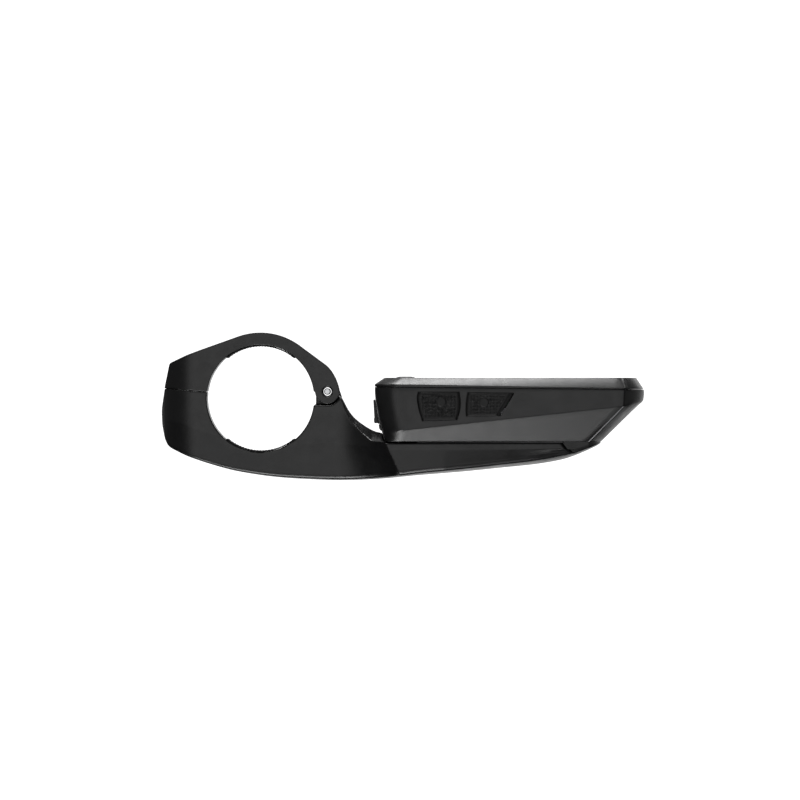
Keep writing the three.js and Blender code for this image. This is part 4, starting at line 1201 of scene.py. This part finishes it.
def dress_kept_nodes():
    """Gives each CAD node that stays in view its material."""
    for name, material in {**KEPT, **dict.fromkeys(BLACK_NODES, BLACK_STEEL)}.items():
        node = frame["nodes"][name]
        if not node.material_slots:
            node.data.materials.append(None)
        for holder in node.material_slots:
            holder.material = material


# ---------- stage


def make_stage():
    """A white table for the camera. Light passes through it, so the lamp below still reaches the object."""
    half, floor_z = 1600, -110
    square = [(-half, -half), (half, -half), (half, half), (-half, half)]
    floor = mesh_object("floor", [(x, y, floor_z) for x, y in square], [(0, 1, 2, 3)])
    n = Surface("floor_paper")
    white = n.add("ShaderNodeEmission")
    white.inputs["Strength"].default_value = 1.25
    clear = n.add("ShaderNodeBsdfTransparent")
    n.blend_by_camera(clear.outputs[0], white.outputs[0], n.tree.nodes["Material Output"].inputs["Surface"])
    floor.data.materials.append(n.material)


def make_light(name, at, target, size, power):
    """A rectangular soft lamp. Places are in metres, power in watts."""
    lamp = bpy.data.lights.new(name, "AREA")
    lamp.shape = "RECTANGLE"
    lamp.size, lamp.size_y = size
    lamp.energy = power
    holder = bpy.data.objects.new(name, lamp)
    holder.location = at
    holder.rotation_euler = (Vector(target) - Vector(at)).to_track_quat("-Z", "Y").to_euler()
    holder.visible_camera = False
    bpy.context.scene.collection.objects.link(holder)


def make_world():
    """White to the camera. To the object it is bright behind, dimmer above, and faint along the horizon."""
    world = bpy.data.worlds.new("studio")
    n = Nodes(world)
    direction = n.add("ShaderNodeSeparateXYZ")
    n.link(n.add("ShaderNodeTexCoord").outputs["Generated"], direction.inputs[0])
    steepness = n.math("ABSOLUTE", direction.outputs["Z"], 0.0)
    behind = n.spread(direction.outputs["Y"], 0.0, 1.0, 0.84, 0.96, "SMOOTHSTEP")
    above = n.spread(direction.outputs["Z"], 0.0, 0.32, 0.25, 0.8, "SMOOTHSTEP")
    beside = n.spread(steepness, 0.15, 0.0, 0.0, 0.35, "SMOOTHSTEP")
    lit = n.tree.nodes["Background"]
    seen = n.add("ShaderNodeBackground")
    for background in (lit, seen):
        background.inputs["Color"].default_value = (1, 1, 1, 1)
    seen.inputs["Strength"].default_value = 1.3
    n.link(n.math("ADD", n.math("ADD", behind, above), beside), lit.inputs["Strength"])
    n.blend_by_camera(lit.outputs[0], seen.outputs[0], n.tree.nodes["World Output"].inputs["Surface"])
    bpy.context.scene.world = world


def make_camera():
    """A long lens square to the object's right side."""
    distance, width = 2.4, 0.2451
    camera = bpy.data.cameras.new("camera")
    camera.sensor_width = 36
    camera.lens = camera.sensor_width * distance / width
    camera.clip_end = 50
    holder = bpy.data.objects.new("camera", camera)
    holder.location = (0.0426, -distance, -0.0005)
    holder.rotation_euler = (math.pi / 2, 0, 0)
    bpy.context.scene.collection.objects.link(holder)
    bpy.context.scene.camera = holder


make_camera()
make_world()
make_stage()
make_light("overhead", (-0.08, 0.02, 0.9), (0.0, 0, 0), (0.5, 0.5), 11)
make_light("upper_right", (0.48, 0.5, 0.72), (0.04, 0, 0), (0.45, 0.45), 4)
make_light("underneath", (-0.035, -0.24, -0.56), (0.04, -0.02, 0), (0.34, 0.3), 3.0)
make_light("front_fill", (0.0, -2.2, -0.2), (0.04, 0, 0), (2.1, 1.6), 10.5)
bpy.context.scene.view_settings.view_transform = "Standard"

make_arm()
make_strap()
make_pad("upper_bar_pad", "strap", 90)
make_pad("lower_bar_pad", "mount", 270)
make_pin()
make_screw()
make_washer()
make_lower_case()
make_bezel()
make_window()
for key_name in FRONT_KEYS:
    make_front_key(key_name)
make_side_key("side_button_rear", REAR_KEY, (55.1, -1.1))
make_side_key("side_button_front", FRONT_KEY, (68.1, -1.2))
make_power_key()
make_port_cover()
dress_kept_nodes()
